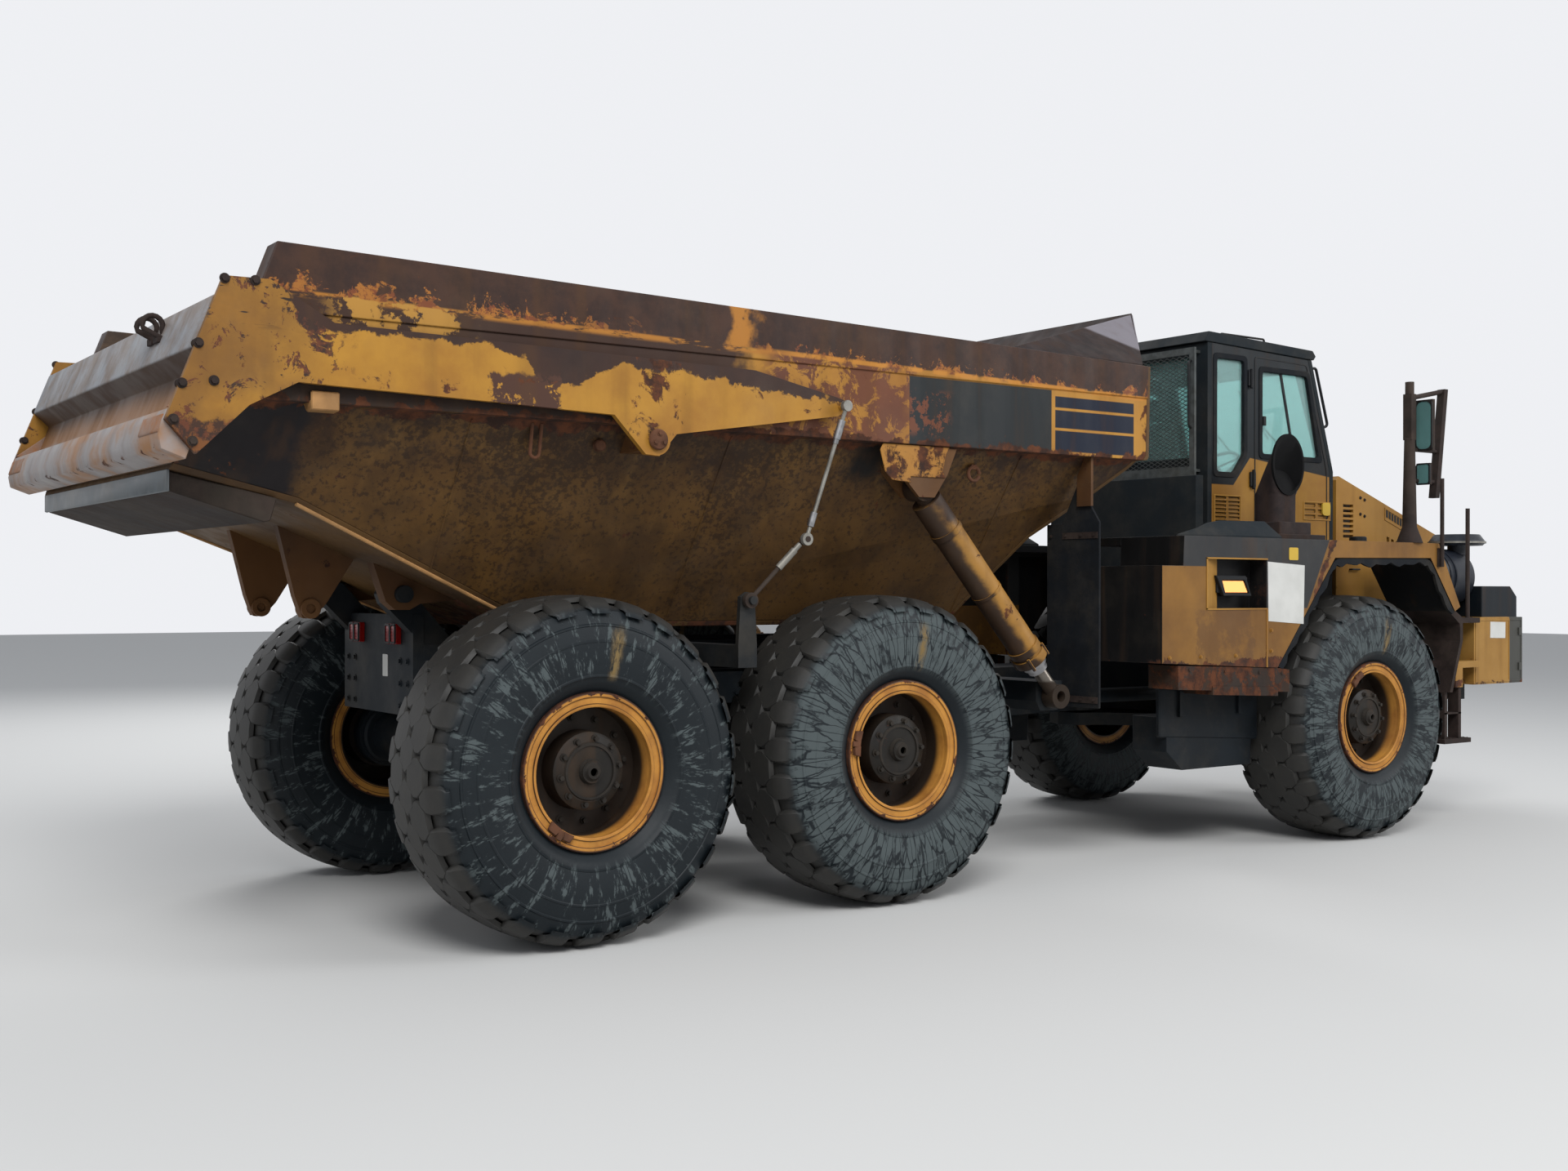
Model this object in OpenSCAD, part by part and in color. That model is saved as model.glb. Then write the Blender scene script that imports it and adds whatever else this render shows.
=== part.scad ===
// Articulated six-wheel dump truck, in millimetres.
// x runs forward, y to the left, z up. Every x below is measured from the rear axle,
// and place() moves the whole truck so that the origin is midway between its two ends.

/* [Overall] */
// x of the front end of the corner boxes
front_end = 8550; // [8400:10:8800]
// x of the rear end of the tailgate
rear_end = -2100; // [-2120:5:-2060]

/* [Wheels] */
// radius over the lugs
tyre_r = 875; // [840:5:900]
// width of a tyre
tyre_w = 675; // [640:5:700]
// distance between the left and right tyre centres
track = 2590; // [2550:5:2600]
// x of the middle axle
axle_mid = 1970; // [1940:5:2000]
// x of the front axle
axle_front = 6320; // [6300:5:6400]
// radius of the rim's flange
flange_r = 397; // [380:1:410]
// radius where the tyre sits on the rim
seat_r = 340; // [330:1:345]
// lugs around each shoulder
lugs = 26; // [20:1:32]
// height of a lug over the carcass
lug_h = 52; // [30:1:60]
// radius of an axle spindle
spindle_r = 90; // [80:1:100]
// clearance of every turning fit, on the radius
fit_gap = 0.05; // [0.02:0.01:0.1]

/* [Steering] */
// x of the articulation hinge between the two frames
pivot_x = 4900; // [4880:5:4950]
// radius of the articulation pins
steer_pin_r = 60; // [50:1:70]

/* [Bed] */
// x of the hinge that the bed tips on
hinge_x = -600; // [-620:5:-580]
// height of that hinge
hinge_z = 1750; // [1740:5:1760]
// thickness of the bed's plates
plate = 28; // [20:1:32]
// half width of the floor
floor_hw = 800; // [780:10:820]
// half width over the side bands
band_hw = 1590; // [1580:1:1595]
// how far the band stands out over the slope's upper edge
band_step = 90; // [80:1:100]
// how far the top rail stands out over the band
rail_step = 10; // [8:1:14]
// height of the floor's underside
floor_z = 1570; // [1560:5:1590]
// height of the fold between the slope and the band
fold_z = 2600; // [2590:5:2620]
// height where the rusty top rail begins
rail_z = 2990; // [2970:5:3010]

/* [Tailgate] */
// x of the arm's hinge
gate_x = 305; // [295:5:315]
// height of the arm's hinge
gate_z = 2526; // [2515:1:2540]
// radius of the arm's hinge pin
gate_pin_r = 38; // [30:1:42]
// thickness of an arm
arm_t = 34; // [25:1:40]
// gap between the top rail and an arm
arm_gap = 22; // [18:1:28]

/* [Hoist] */
// x and z of the barrel's upper eye
hoist_top = [2150, 2360];
// x and z of the rod's lower eye
hoist_foot = [3250, 1130];
// how far the hoist cylinders' middle lies inside the slope's upper edge
hoist_in = 18; // [10:1:24]
// radius of a barrel
barrel_r = 92; // [85:1:96]
// radius of the hoist pins
hoist_pin_r = 34; // [30:1:40]

/* [Cab] */
// half width of the cab
cab_hw = 750; // [720:5:760]
// thickness of the cab's walls
wall = 45; // [35:1:60]
// thickness of the glass
glass_t = 6; // [4:1:10]

/* [Hidden] */
$fn = 48;
mid_x = (front_end + rear_end) / 2;
tyre_y = track / 2;
carcass_r = tyre_r - lug_h;
fold_hw = band_hw - band_step;
rail_hw = band_hw + rail_step;
cut_hw = rail_hw + 100;
arm_y = rail_hw + arm_gap;
hoist_y = fold_hw - hoist_in;
rope_y = arm_y - 157;
hood_hw = cab_hw - 10;
yellow = [0.84, 0.62, 0.18];
rust = [0.36, 0.2, 0.14];
slate = [0.13, 0.15, 0.17];
navy = [0.08, 0.1, 0.14];
grey = [0.55, 0.55, 0.52];
steel = [0.6, 0.6, 0.62];
rubber = [0.07, 0.08, 0.1];
brown = [0.25, 0.18, 0.14];
glass = [0.5, 0.75, 0.72, 0.5];
orange = [0.85, 0.5, 0.12];

function unit(v) = v / norm(v);
function cross2(a, b) = a[0] * b[1] - a[1] * b[0];
// Moves each edge of a counterclockwise outline inward by d.
function inset(p, d) = [
    for (i = [0 : len(p) - 1])
        let (
            a = p[(i + len(p) - 1) % len(p)],
            b = p[i],
            c = p[(i + 1) % len(p)],
            u = unit(b - a),
            v = unit(c - b),
            m = [-u[1], u[0]],
            n = [-v[1], v[0]]
        )
        b + d * (m + n) / (1 + m * n)
];

module place() {
    translate([-mid_x, 0, 0]) children();
}

module both() {
    children();
    mirror([0, 1, 0]) children();
}

// An outline in x and z, drawn out from y0 to y1.
module xz(pts, y0, y1) {
    translate([0, y1, 0])
        rotate([90, 0, 0])
            linear_extrude(y1 - y0) polygon(pts);
}

// An outline in y and z, drawn out from x0 to x1.
module yz(pts, x0, x1) {
    translate([x0, 0, 0])
        rotate([90, 0, 90])
            linear_extrude(x1 - x0) polygon(pts);
}

// An outline in x and y, drawn out from z0 to z1.
module xy(pts, z0, z1) {
    translate([0, 0, z0])
        linear_extrude(z1 - z0) polygon(pts);
}

module box(x, y, z) {
    translate([x[0], y[0], z[0]])
        cube([x[1] - x[0], y[1] - y[0], z[1] - z[0]]);
}

// A round bar along y.
module bar_y(x, z, r, y0, y1) {
    translate([x, y1, z])
        rotate([90, 0, 0]) cylinder(r = r, h = y1 - y0);
}

// A round bar between two points.
module rod(a, b, r) {
    d = b - a;
    l = norm(d);
    translate(a)
        rotate([0, acos(d[2] / l), atan2(d[1], d[0])])
            cylinder(r = r, h = l);
}

// Wheels are drawn about y with the outer side toward +y.

module spin_y(pts) {
    rotate([-90, 0, 0]) rotate_extrude($fn = 96) polygon(pts);
}

module tyre_shape() {
    w = tyre_w / 2;
    spin_y([
        [seat_r, -262], [flange_r + 3, -262], [470, -326], [600, -w], [720, -330],
        [carcass_r, -262], [carcass_r, 262], [720, 330], [600, w], [470, 326],
        [flange_r + 3, 262], [seat_r, 262]
    ]);
    step = 360 / lugs;
    for (side = [0, 1])
        difference() {
            translate([0, side == 0 ? 28 : -w + 12, 0])
                rotate([-90, 0, 0])
                    linear_extrude(w - 40)
                        rotate(side * step / 2)
                            polygon([
                                for (i = [0 : lugs - 1])
                                    each [
                                        for (k = [[0, 790], [0.06, tyre_r], [0.56, tyre_r], [0.62, 790]])
                                            [
                                                k[1] * cos((i + k[0]) * step),
                                                k[1] * sin((i + k[0]) * step)
                                            ]
                                    ]
                            ]);
            bar_y(0, 0, 700, -w, w);
        }
}

module tyre(x, side) {
    color(rubber)
        place()
            translate([x, side * tyre_y, tyre_r])
                mirror([0, side < 0 ? 1 : 0, 0]) tyre_shape();
}

module rim_shape() {
    bore = spindle_r + fit_gap;
    in_r = seat_r - 18;
    spin_y([
        [in_r, -275], [flange_r, -275], [flange_r, -263], [seat_r, -263], [seat_r, 263],
        [flange_r, 263], [flange_r, 275], [in_r + 8, 275], [in_r, 240], [in_r, 96],
        [200, 96], [195, 215], [150, 236], [62, 236], [56, 262], [0, 262], [0, 155],
        [bore, 155], [bore, -110], [215, -110], [215, 70], [in_r, 70]
    ]);
}

module rim(x, side) {
    color(orange)
        place()
            translate([x, side * tyre_y, tyre_r])
                mirror([0, side < 0 ? 1 : 0, 0]) rim_shape();
}

module rear_right_tyre() { tyre(0, -1); }
module rear_left_tyre() { tyre(0, 1); }
module middle_right_tyre() { tyre(axle_mid, -1); }
module middle_left_tyre() { tyre(axle_mid, 1); }
module front_right_tyre() { tyre(axle_front, -1); }
module front_left_tyre() { tyre(axle_front, 1); }
module rear_right_rim() { rim(0, -1); }
module rear_left_rim() { rim(0, 1); }
module middle_right_rim() { rim(axle_mid, -1); }
module middle_left_rim() { rim(axle_mid, 1); }
module front_right_rim() { rim(axle_front, -1); }
module front_left_rim() { rim(axle_front, 1); }

// Housing, brakes and spindles of one axle.
module axle(x) {
    z = tyre_r;
    bar_y(x, z, 135, -1100, 1100);
    both() {
        bar_y(x, z, 200, 1040, 1150);
        bar_y(x, z, spindle_r, 1100, tyre_y + 148);
    }
    translate([x, 0, z]) sphere(r = 300);
    bar_y(x, z, 250, -170, 170);
}

module rear_frame() {
    color(navy) place() {
        both() {
            box([-439.7, 3250], [350, 500], [1100, 1480]);
            // cheek that carries the bed's hinge
            difference() {
                xz([
                    [-250, 1480], [hinge_x + 55, hinge_z + 55], [hinge_x, hinge_z + 78],
                    [hinge_x - 55, hinge_z + 55], [hinge_x - 78, hinge_z],
                    [hinge_x - 60, hinge_z - 50], [-438, 1480]
                ], 400, 490);
                bar_y(hinge_x, hinge_z, 30, 380, 500);
            }
            bar_y(hinge_x, hinge_z, 45, 400, 640);
            // bogie stop
            box([905, 1065], [500, 560], [1100, 1350]);
            // outrigger that holds the tailgate rope
            box([940, 1060], [500, rope_y - 25], [1360, 1480]);
            xz([
                [940, 1480], [1060, 1480], [1045, 1740], [1000, 1765], [955, 1740]
            ], rope_y - 55, rope_y - 25);
            bar_y(rope_foot[0], rope_foot[1], 22, rope_y - 55, rope_y + 35);
            // bracket that holds the hoist's foot
            xz([
                [hoist_foot[0] - 110, 1100], [hoist_foot[0] - 75, 1040],
                [hoist_foot[0] + 75, 1040], [hoist_foot[0] + 110, 1100],
                [hoist_foot[0] + 110, 1220], [hoist_foot[0] - 110, 1220]
            ], 500, hoist_y - 57);
        }
        box([-500, -440], [-500, 500], [1100, 1640]);
        for (x = [300, 1300, 2400])
            box([x, x + 120], [-349.7, 349.7], [1160, 1440]);
        box([3130, 3250], [-349.7, 349.7], [1240.3, 1440]);
        // neck that runs forward to the articulation
        xy([
            [3060, -349.7], [3250, -349.7], [3700, -280], [pivot_x - 100, -150],
            [pivot_x - 100, 150], [3700, 280], [3250, 349.7], [3060, 349.7]
        ], 900, 1240);
        // brackets under the steering rods' eyes
        both()
            xy([
                [3360, 320], [3480, 575], [3560, 575], [3720, 260]
            ], 930, steer_z - 45);
        difference() {
            translate([pivot_x, 0, 900]) cylinder(r = 185, h = 340);
            translate([pivot_x, 0, 880]) cylinder(r = steer_pin_r + fit_gap, h = 400);
        }
    }
}

// Rear and middle axles with the beams that join them.
module bogie() {
    color(navy) place() {
        axle(0);
        axle(axle_mid);
        both()
            xz([
                [-60, 800], [axle_mid / 2 - 250, 690], [axle_mid / 2 + 250, 690],
                [axle_mid + 60, 800], [axle_mid + 60, 950], [axle_mid / 2 + 200, 1090],
                [axle_mid / 2 - 200, 1090], [-60, 950]
            ], 600, 760);
        bar_y(axle_mid / 2, 920, 110, -640, 640);
        rod([250, 0, 900], [axle_mid - 250, 0, 900], 60);
        rod([axle_mid + 240, 0, 965], [3060, 0, 965], 60);
    }
}

module tail_lamps() {
    color([0.5, 0.05, 0.04]) place()
        both() {
            box([-530, -500], [190, 340], [1480, 1590]);
        }
}

// Outline of the bed from the side: tail lip, keel, prow, top of the front wall.
bed_out = [
    [-1960, 2300], [-1370, 2170], [50, floor_z], [2950, floor_z], [3180, 1900],
    [3330, 2110], [3670, 2360], [3900, 2550], [3960, fold_z + 20], [3975, 3195],
    [-1587, 3294]
];
bed_in = inset(bed_out, plate);
edge_u = unit(bed_out[10] - bed_out[0]);
keel_u = unit(bed_out[1] - bed_out[0]);
tail_in = bed_out[0] + edge_u * plate / cross2(keel_u, edge_u);
lean = (fold_hw - floor_hw) / (fold_z - floor_z);
shift = plate * sqrt(1 + lean * lean);

// |y| of the sloping wall's outer face at a height.
function slope_y(z) = floor_hw + (z - floor_z) * lean;

// Half of the bed's cross section, filled.
half_section = [
    [0, floor_z - 5], [floor_hw - 5 * lean, floor_z - 5], [fold_hw, fold_z], [band_hw, fold_z],
    [band_hw, 3400], [0, 3400]
];

module bed_floor() {
    color(yellow) place()
        intersection() {
            xz([
                bed_out[0], bed_out[1], bed_out[2], bed_out[3],
                bed_in[3], bed_in[2], bed_in[1], tail_in
            ], -cut_hw, cut_hw);
            both() yz(half_section, -2100, 4100);
        }
}

module bed_front() {
    color(yellow) place()
        intersection() {
            xz([
                for (i = [3 : 9]) bed_out[i],
                bed_out[9] - [plate, 0],
                for (i = [8 : -1 : 3]) bed_in[i]
            ], -cut_hw, cut_hw);
            both() yz(half_section, -2100, 4100);
        }
}

// Sloping wall, band and top rail of one side.
module bed_side() {
    in_y = fold_hw - plate;
    knee = floor_z + (in_y - floor_hw + shift) / lean;
    intersection() {
        xz([
            tail_in, bed_in[1], bed_in[2], bed_in[3], bed_in[4], bed_in[5], bed_in[6],
            bed_in[7], bed_in[8], bed_out[9] - [plate, 0], bed_out[10]
        ], -cut_hw, cut_hw);
        union() {
            yz([
                [floor_hw - shift, floor_z], [floor_hw, floor_z], [fold_hw, fold_z],
                [band_hw, fold_z], [band_hw, rail_z], [in_y, rail_z], [in_y, knee]
            ], -2100, 4100);
            yz([
                [in_y - 12, rail_z], [rail_hw, rail_z], [rail_hw, 3400], [in_y - 12, 3400]
            ], -2100, 4100);
        }
    }
}

module bed_left_side() {
    color(yellow) place() bed_side();
}

module bed_right_side() {
    color(yellow) place() mirror([0, 1, 0]) bed_side();
}

// Sloping plate over the cab, narrower at its top, with a wing on each side.
guard_foot = [3975, 3195];
guard_top = [4560, 3670];
guard_hw = fold_hw + 20;
module spill_guard() {
    u = guard_top - guard_foot;
    l = norm(u);
    a = atan2(u[1], u[0]);
    color(rust) place() {
        translate([guard_foot[0], 0, guard_foot[1]])
            rotate([0, -a, 0])
                xy([[0, -guard_hw], [l, -900], [l, 900], [0, guard_hw]], 0, 20);
        both()
            hull() {
                translate([guard_foot[0] - 5, guard_hw - 15, guard_foot[1] + 14]) cube([10, 14, 10]);
                translate([guard_top[0] - 20, 890, guard_top[1] - 6]) cube([10, 14, 10]);
                translate([2850, guard_hw - 15, 3222]) cube([10, 14, 6]);
            }
    }
}

// Hinge lugs, hoist brackets and gate pins that hang on the bed.
// Height of the rising keel's underside.
function keel_z(x) = floor_z - 0.1 + (50 - x) * (2170 - floor_z) / 1420;

module bed_brackets() {
    color(rust) place()
        both() {
            // lug round the tipping hinge
            difference() {
                xz([
                    [-560, 1668], [-500, 1700], [-300, keel_z(-300)], [-760, keel_z(-760)],
                    [-690, 1710], [-640, 1668]
                ], 510, 600);
                bar_y(hinge_x, hinge_z, 45 + fit_gap, 500, 610);
            }
            // hanging lug on the tail
            xz([
                [-1010, 1630], [-945, 1700], [-800, keel_z(-800)], [-1200, keel_z(-1200)],
                [-1110, 1740], [-1070, 1630]
            ], 370, 430);
            // cheeks and pin of the hoist's upper eye
            for (y = [[hoist_y - 84, hoist_y - 58], [hoist_y + 58, hoist_y + 84]])
                difference() {
                    xz([
                        [1850, 2590], [1950, 2440], [hoist_top[0] - 62, hoist_top[1] - 54],
                        [hoist_top[0] + 52, hoist_top[1] - 54], [2300, 2440], [2370, 2590]
                    ], y[0], y[1]);
                    yz([
                        [0, floor_z], [floor_hw, floor_z], [fold_hw, fold_z], [fold_hw, 2700], [0, 2700]
                    ], 1800, 2400);
                }
            bar_y(hoist_top[0], hoist_top[1], hoist_pin_r, hoist_y - 84, hoist_y + 84);
            // boss and pin of the tailgate's arm
            yz([
                [slope_y(2470) + 0.3, 2470], [arm_y - 10, 2470], [arm_y - 10, fold_z],
                [fold_hw + 0.3, fold_z]
            ], gate_x - 75, gate_x + 75);
            bar_y(gate_x, gate_z, gate_pin_r, arm_y - 62, arm_y + arm_t + 12);
            // hanger of the rubber flap
            yz([
                [fold_hw - 60, 2300], [fold_hw + 60, 2300], [fold_hw + 60, fold_z],
                [fold_hw + 4, fold_z], [fold_hw - 60, 2490]
            ], 3472, 3492);
        }
}

// Dark rubber sheets behind the cab that hang from the bed.
module mud_flaps() {
    color(rubber) place()
        both()
            yz([
                [1160, 1050], [fold_hw + 110, 1050], [fold_hw + 110, 2200], [fold_hw - 70, 2450],
                [fold_hw - 210, 2195], [1160, 2195]
            ], 3492, 3508);
}

// Side outline of an arm with its plate beside the panel.
arm_out = [
    [-2072, 2483], [-1946, 2342], [-1723, 2563], [-1509, 2677], [-574, 2654], [62, 2635],
    [240, 2450], [319, 2445], [420, 2560], [1440, 2715], [1500, 2750], [1500, 2800],
    [1440, 2815], [900, 2920], [-1350, 2950], [-1634, 3111], [-1833, 3107]
];

module gate_arm() {
    difference() {
        union() {
            xz(arm_out, arm_y, arm_y + arm_t);
            bar_y(gate_x, gate_z, 78, arm_y, arm_y + arm_t);
        }
        bar_y(gate_x, gate_z, gate_pin_r + fit_gap, arm_y - 10, arm_y + arm_t + 10);
    }
    bar_y(rope_head[0], rope_head[1], 22, arm_y, arm_y + arm_t + 24);
}

module gate_left_arm() {
    color(yellow) place() gate_arm();
}

module gate_right_arm() {
    color(yellow) place() mirror([0, 1, 0]) gate_arm();
}

// Panel between the arms: a plate with a raised band along its top and its bottom.
gate_off = 24;
gate_n = [-edge_u[1], edge_u[0]];
gate_corner = bed_out[10] + gate_n * gate_off;
// along: distance down the lean; out: distance to the rear
function at(along, out) = gate_corner - edge_u * along + gate_n * out;
band_out = (rear_end - at(990, 0)[0]) / gate_n[0];
module gate_panel() {
    color(yellow) place() {
        xz([at(190, 0), at(190, 60), at(1030, 60), at(1030, 0)], -arm_y, arm_y);
        xz([at(190, 40), at(230, band_out), at(390, band_out), at(430, 40)], -arm_y, arm_y);
        xz([at(800, 40), at(840, band_out), at(990, band_out), at(1030, 40)], -arm_y, arm_y);
        for (y = [-1000, 0, 1000])
            xz([at(400, 40), at(400, 110), at(830, 110), at(830, 40)], y - 30, y + 30);
        for (y = [-620, 620])
            difference() {
                xz([at(215, 25), at(120, 32), at(120, 105), at(225, 120)], y - 12, y + 12);
                translate([at(155, 68)[0], 0, at(155, 68)[1]])
                    bar_y(0, 0, 20, y - 30, y + 30);
            }
    }
}

// The tailgate ropes are a short foot link and a long head link on each side.

rope_foot = [1000, 1720];
rope_joint = [1285, 2050];
rope_head = [1460, 2768];

module rope_foot_links() {
    a = rope_foot;
    b = rope_joint;
    color(rust) place()
        both() {
            difference() {
                bar_y(a[0], a[1], 42, rope_y - 15, rope_y + 15);
                bar_y(a[0], a[1], 22 + fit_gap, rope_y - 25, rope_y + 25);
            }
            rod([a[0] + 22, rope_y, a[1] + 26], [b[0], rope_y + 95, b[1]], 12);
            bar_y(b[0], b[1], 16, rope_y + 75, rope_y + 135);
        }
}

module rope_head_links() {
    a = rope_joint;
    b = rope_head;
    y = arm_y + arm_t + 50;
    color(steel) place()
        both() {
            difference() {
                bar_y(a[0], a[1], 34, rope_y + 107, rope_y + 131);
                bar_y(a[0], a[1], 16 + fit_gap, rope_y + 95, rope_y + 145);
            }
            rod([a[0] + 7, rope_y + 119, a[1] + 28], [b[0], y, b[1]], 11);
            bar_y(b[0], b[1], 30, y - 14, y + 14);
        }
}

// The hoist has a barrel on the bed, three stages, and a foot eye beside the frame's boss.

hoist_d = hoist_foot - hoist_top;
hoist_len = norm(hoist_d);
hoist_a = atan2(hoist_d[0], hoist_d[1]);

// Draws along the cylinder's axis, from the upper eye down.
module along_hoist() {
    both()
        translate([hoist_top[0], hoist_y, hoist_top[1]])
            rotate([0, hoist_a, 0]) children();
}

module tube(r, bore, z0, z1, floor_t) {
    difference() {
        translate([0, 0, z0]) cylinder(r = r, h = z1 - z0);
        translate([0, 0, z0 + floor_t]) cylinder(r = bore, h = z1 - z0);
    }
}

module hoist_barrels() {
    color(yellow) place() {
        along_hoist() {
            difference() {
                union() {
                    rotate([90, 0, 0]) cylinder(r = 74, h = 108, center = true);
                    translate([0, 0, 40]) cylinder(r = 50, h = 60);
                }
                rotate([90, 0, 0])
                    cylinder(r = hoist_pin_r + fit_gap, h = 140, center = true);
            }
            tube(barrel_r, 78 + fit_gap, 90, 1330, 40);
            tube(barrel_r + 12, 78 + fit_gap, 1290, 1345, 0);
        }
    }
}

module hoist_stage(r, bore, z0, z1) {
    color(steel) place() along_hoist() tube(r, bore, z0, z1, 20);
}

module hoist_stage_1() { hoist_stage(78, 63 + fit_gap, 135, 1385); }
module hoist_stage_2() { hoist_stage(63, 44 + fit_gap, 160, 1425); }
module hoist_rods() {
    color(steel) place()
        along_hoist() {
            translate([0, 0, 185]) cylinder(r = 44, h = hoist_len - 185 - 50);
            difference() {
                translate([0, 0, hoist_len]) rotate([90, 0, 0]) cylinder(r = 74, h = 96, center = true);
                translate([0, 0, hoist_len])
                    rotate([90, 0, 0]) cylinder(r = hoist_pin_r + fit_gap, h = 140, center = true);
            }
        }
}

module front_frame() {
    color(navy) place() {
        both() {
            // rail, arched over the axle
            xz([
                [5480.3, 900], [6120, 900], [6180, 1020], [6460, 1020], [6520, 900],
                [8249.7, 900], [8249.7, 1330], [5480.3, 1330]
            ], 350, 470);
            // tow eyes
            difference() {
                xz([[8380, 900], [8470, 930], [8500, 980], [8470, 1030], [8380, 1060]], 380, 440);
                bar_y(8440, 980, 28, 370, 450);
            }
        }
        // yoke round the neck's end
        for (z = [[790, 880], [1260, 1350]])
            xy([
                [5480, -470], [5480, 470], [5200, 470], [pivot_x + 60, 210], [pivot_x - 90, 150],
                [pivot_x - 150, 0], [pivot_x - 90, -150], [pivot_x + 60, -210], [5200, -470]
            ], z[0], z[1]);
        box([5400, 5480], [-470, 470], [790, 1350]);
        both() {
            for (z = [[steer_z - 75, steer_z - 50], [steer_z + 50, steer_z + 75]])
                xy([
                    [5480, 400], [5480, 660], [5330, 690], [5270, 690], [5240, 600], [5400, 400]
                ], z[0], z[1]);
            translate([steer_front[0], steer_front[1], steer_z - 75])
                cylinder(r = steer_pin, h = 150);
        }
        translate([pivot_x, 0, 790]) cylinder(r = steer_pin_r, h = 560);
        for (x = [5700, 6720, 7740])
            box([x, x + 120], [-349.7, 349.7], [960, 1300]);
        // bumper beam
        box([8250, 8380], [-999.7, 999.7], [900, 1290]);
        // brackets and pins of the bonnet's hinge
        both() {
            xz([
                [8380, 1180], [8400, 1180], [8506, 1370], [8500, 1400], [8460, 1400], [8380, 1285]
            ], 615, 640);
            bar_y(bonnet_x, bonnet_z, 14, 585, 640);
        }
        // brackets that carry the fender boxes
        both() {
            box([5210, 5280], [470.3, 999.7], [1272, 1345]);
            box([7500, 7580], [470.3, 999.7], [1260, 1325]);
        }
    }
}

module front_axle() {
    color(navy) place() {
        axle(axle_front);
        both() {
            box([axle_front - 60, axle_front + 60], [470, 700], [1000, 1200]);
            xz([[axle_front, 940], [5700, 1000], [5700, 1080], [axle_front, 1060]], 480, 560);
        }
    }
}

// Corner boxes and what stands on them.
box_x = 7870;
box_z = 1575;
module corner_boxes() {
    color(yellow) place()
        both() {
            box([box_x, front_end], [1000, 1400], [1050, box_z]);
            xz([
                [8000, box_z], [8490, box_z], [8490, 1740], [8400, 1820], [8000, 1820]
            ], 1030, 1385);
            // bracket of the steps
            xz([
                [7545, 1040], [7640, 1040], [7640, 1190], [box_x, 1190], [box_x, 1240],
                [7545, 1240]
            ], 1330, 1450);
        }
}

// Height of the storage box's underside.
function box_under(x) = 1310 - (x - 4130) * 55 / 1155;

// Storage box, arch and deck over one front wheel.
fender_out = [
    [4130, 1310], [5285, 1255], [5917, 2012], [7063, 2025], [7376, 1627], [7445, 1660],
    [7168, 2136], [4340, 2136], [4330, 1940], [4130, 1940]
];

module fender() {
    difference() {
        xz(fender_out, 1000, 1550);
        // recess of the work lamp
        box([4560, 5170], [1400, 1560], [1660, 1990]);
    }
    box([4340, 7168], [cab_hw + 25, 1000], [2080, 2136]);
}

module left_fender() {
    color(yellow) place() fender();
}

module right_fender() {
    color(yellow) place() mirror([0, 1, 0]) fender();
}

module belly_tanks() {
    color(navy) place()
        both() {
            xz([[4500, 700], [4650, 570], [5360, 570], [5380, 930], [4500, 930]], 960, 1260);
            box([4500, 5300], [1270, 1540], [1150, 1240]);
            for (x = [4600, 5200])
                xz([
                    [x, 930], [x + 40, 930], [x + 40, box_under(x + 40) - 0.1], [x, box_under(x) - 0.1]
                ], 1180, 1290);
        }
}

module lamps() {
    color([0.9, 0.6, 0.3]) place()
        both() {
            box([4720, 5030], [1400, 1500], [1765, 1870]);
            box([8290, 8412], [hood_hw + 20, 980], [1290, 1440]);
        }
}

// Side outline of the cab.
cab_out = [
    [5515, 1960], [6988, 1960], [6990, 2709], [6721, 3600], [5516, 3640]
];

module cab_floor() {
    color(slate) place() {
        box([5515, 6988], [-cab_hw, cab_hw], [1960, 2010]);
        box([5480, 6988], [-600, 600], [1330, 1960]);
        box([5400, 5480], [10 - cab_hw, cab_hw - 10], [1400, 2620]);
    }
}

module cab_roof() {
    color(slate) place() {
        xz([
            [5480, 3600], [6735, 3560], [6760, 3590], [6721, 3632], [5518, 3674]
        ], -cab_hw - 10, cab_hw + 10);
    }
}

module cab_rear_wall() {
    color(slate) place()
        difference() {
            box([5515, 5515 + wall], [-cab_hw, cab_hw], [2010, 3597]);
            box([5500, 5600], [150 - cab_hw, cab_hw - 150], [2760, 3500]);
        }
}

// Windscreen frame and dashboard wall.
module cab_front_wall() {
    color(slate) place()
        difference() {
            xz([
                [6943, 2010], [6988, 2010], [6990, 2709], [6722, 3558], [6674, 3560], [6943, 2709]
            ], -cab_hw, cab_hw);
            yz([
                [110 - cab_hw, 2740], [cab_hw - 110, 2740],
                [cab_hw - 150, 3480], [150 - cab_hw, 3480]
            ], 6600, 7000);
        }
}

side_win = [[6115, 2795], [6822, 2795], [6665, 3440], [6115, 3440]];
rear_win = [[5600, 2640], [5810, 2640], [5930, 2790], [5930, 3500], [5600, 3500]];
side_wall = [
    [5515 + wall, 2010], [6943, 2010], [6943, 2709], [6674, 3559], [5515 + wall, 3597]
];

module cab_right_wall() {
    color(slate) place()
        mirror([0, 1, 0])
            difference() {
                xz(side_wall, cab_hw - wall, cab_hw);
                xz(side_win, cab_hw - 100, cab_hw + 50);
                xz(rear_win, cab_hw - 100, cab_hw + 50);
                // louvres
                for (i = [0 : 8], x = [5600, 5750])
                    box([x, x + 120], [cab_hw - 12, cab_hw + 10], [2222 + i * 29, 2238 + i * 29]);
                for (i = [0 : 2], x = [6640, 6800])
                    box([x, x + 130], [cab_hw - 12, cab_hw + 10], [2340 + i * 44, 2364 + i * 44]);
            }
}

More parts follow.
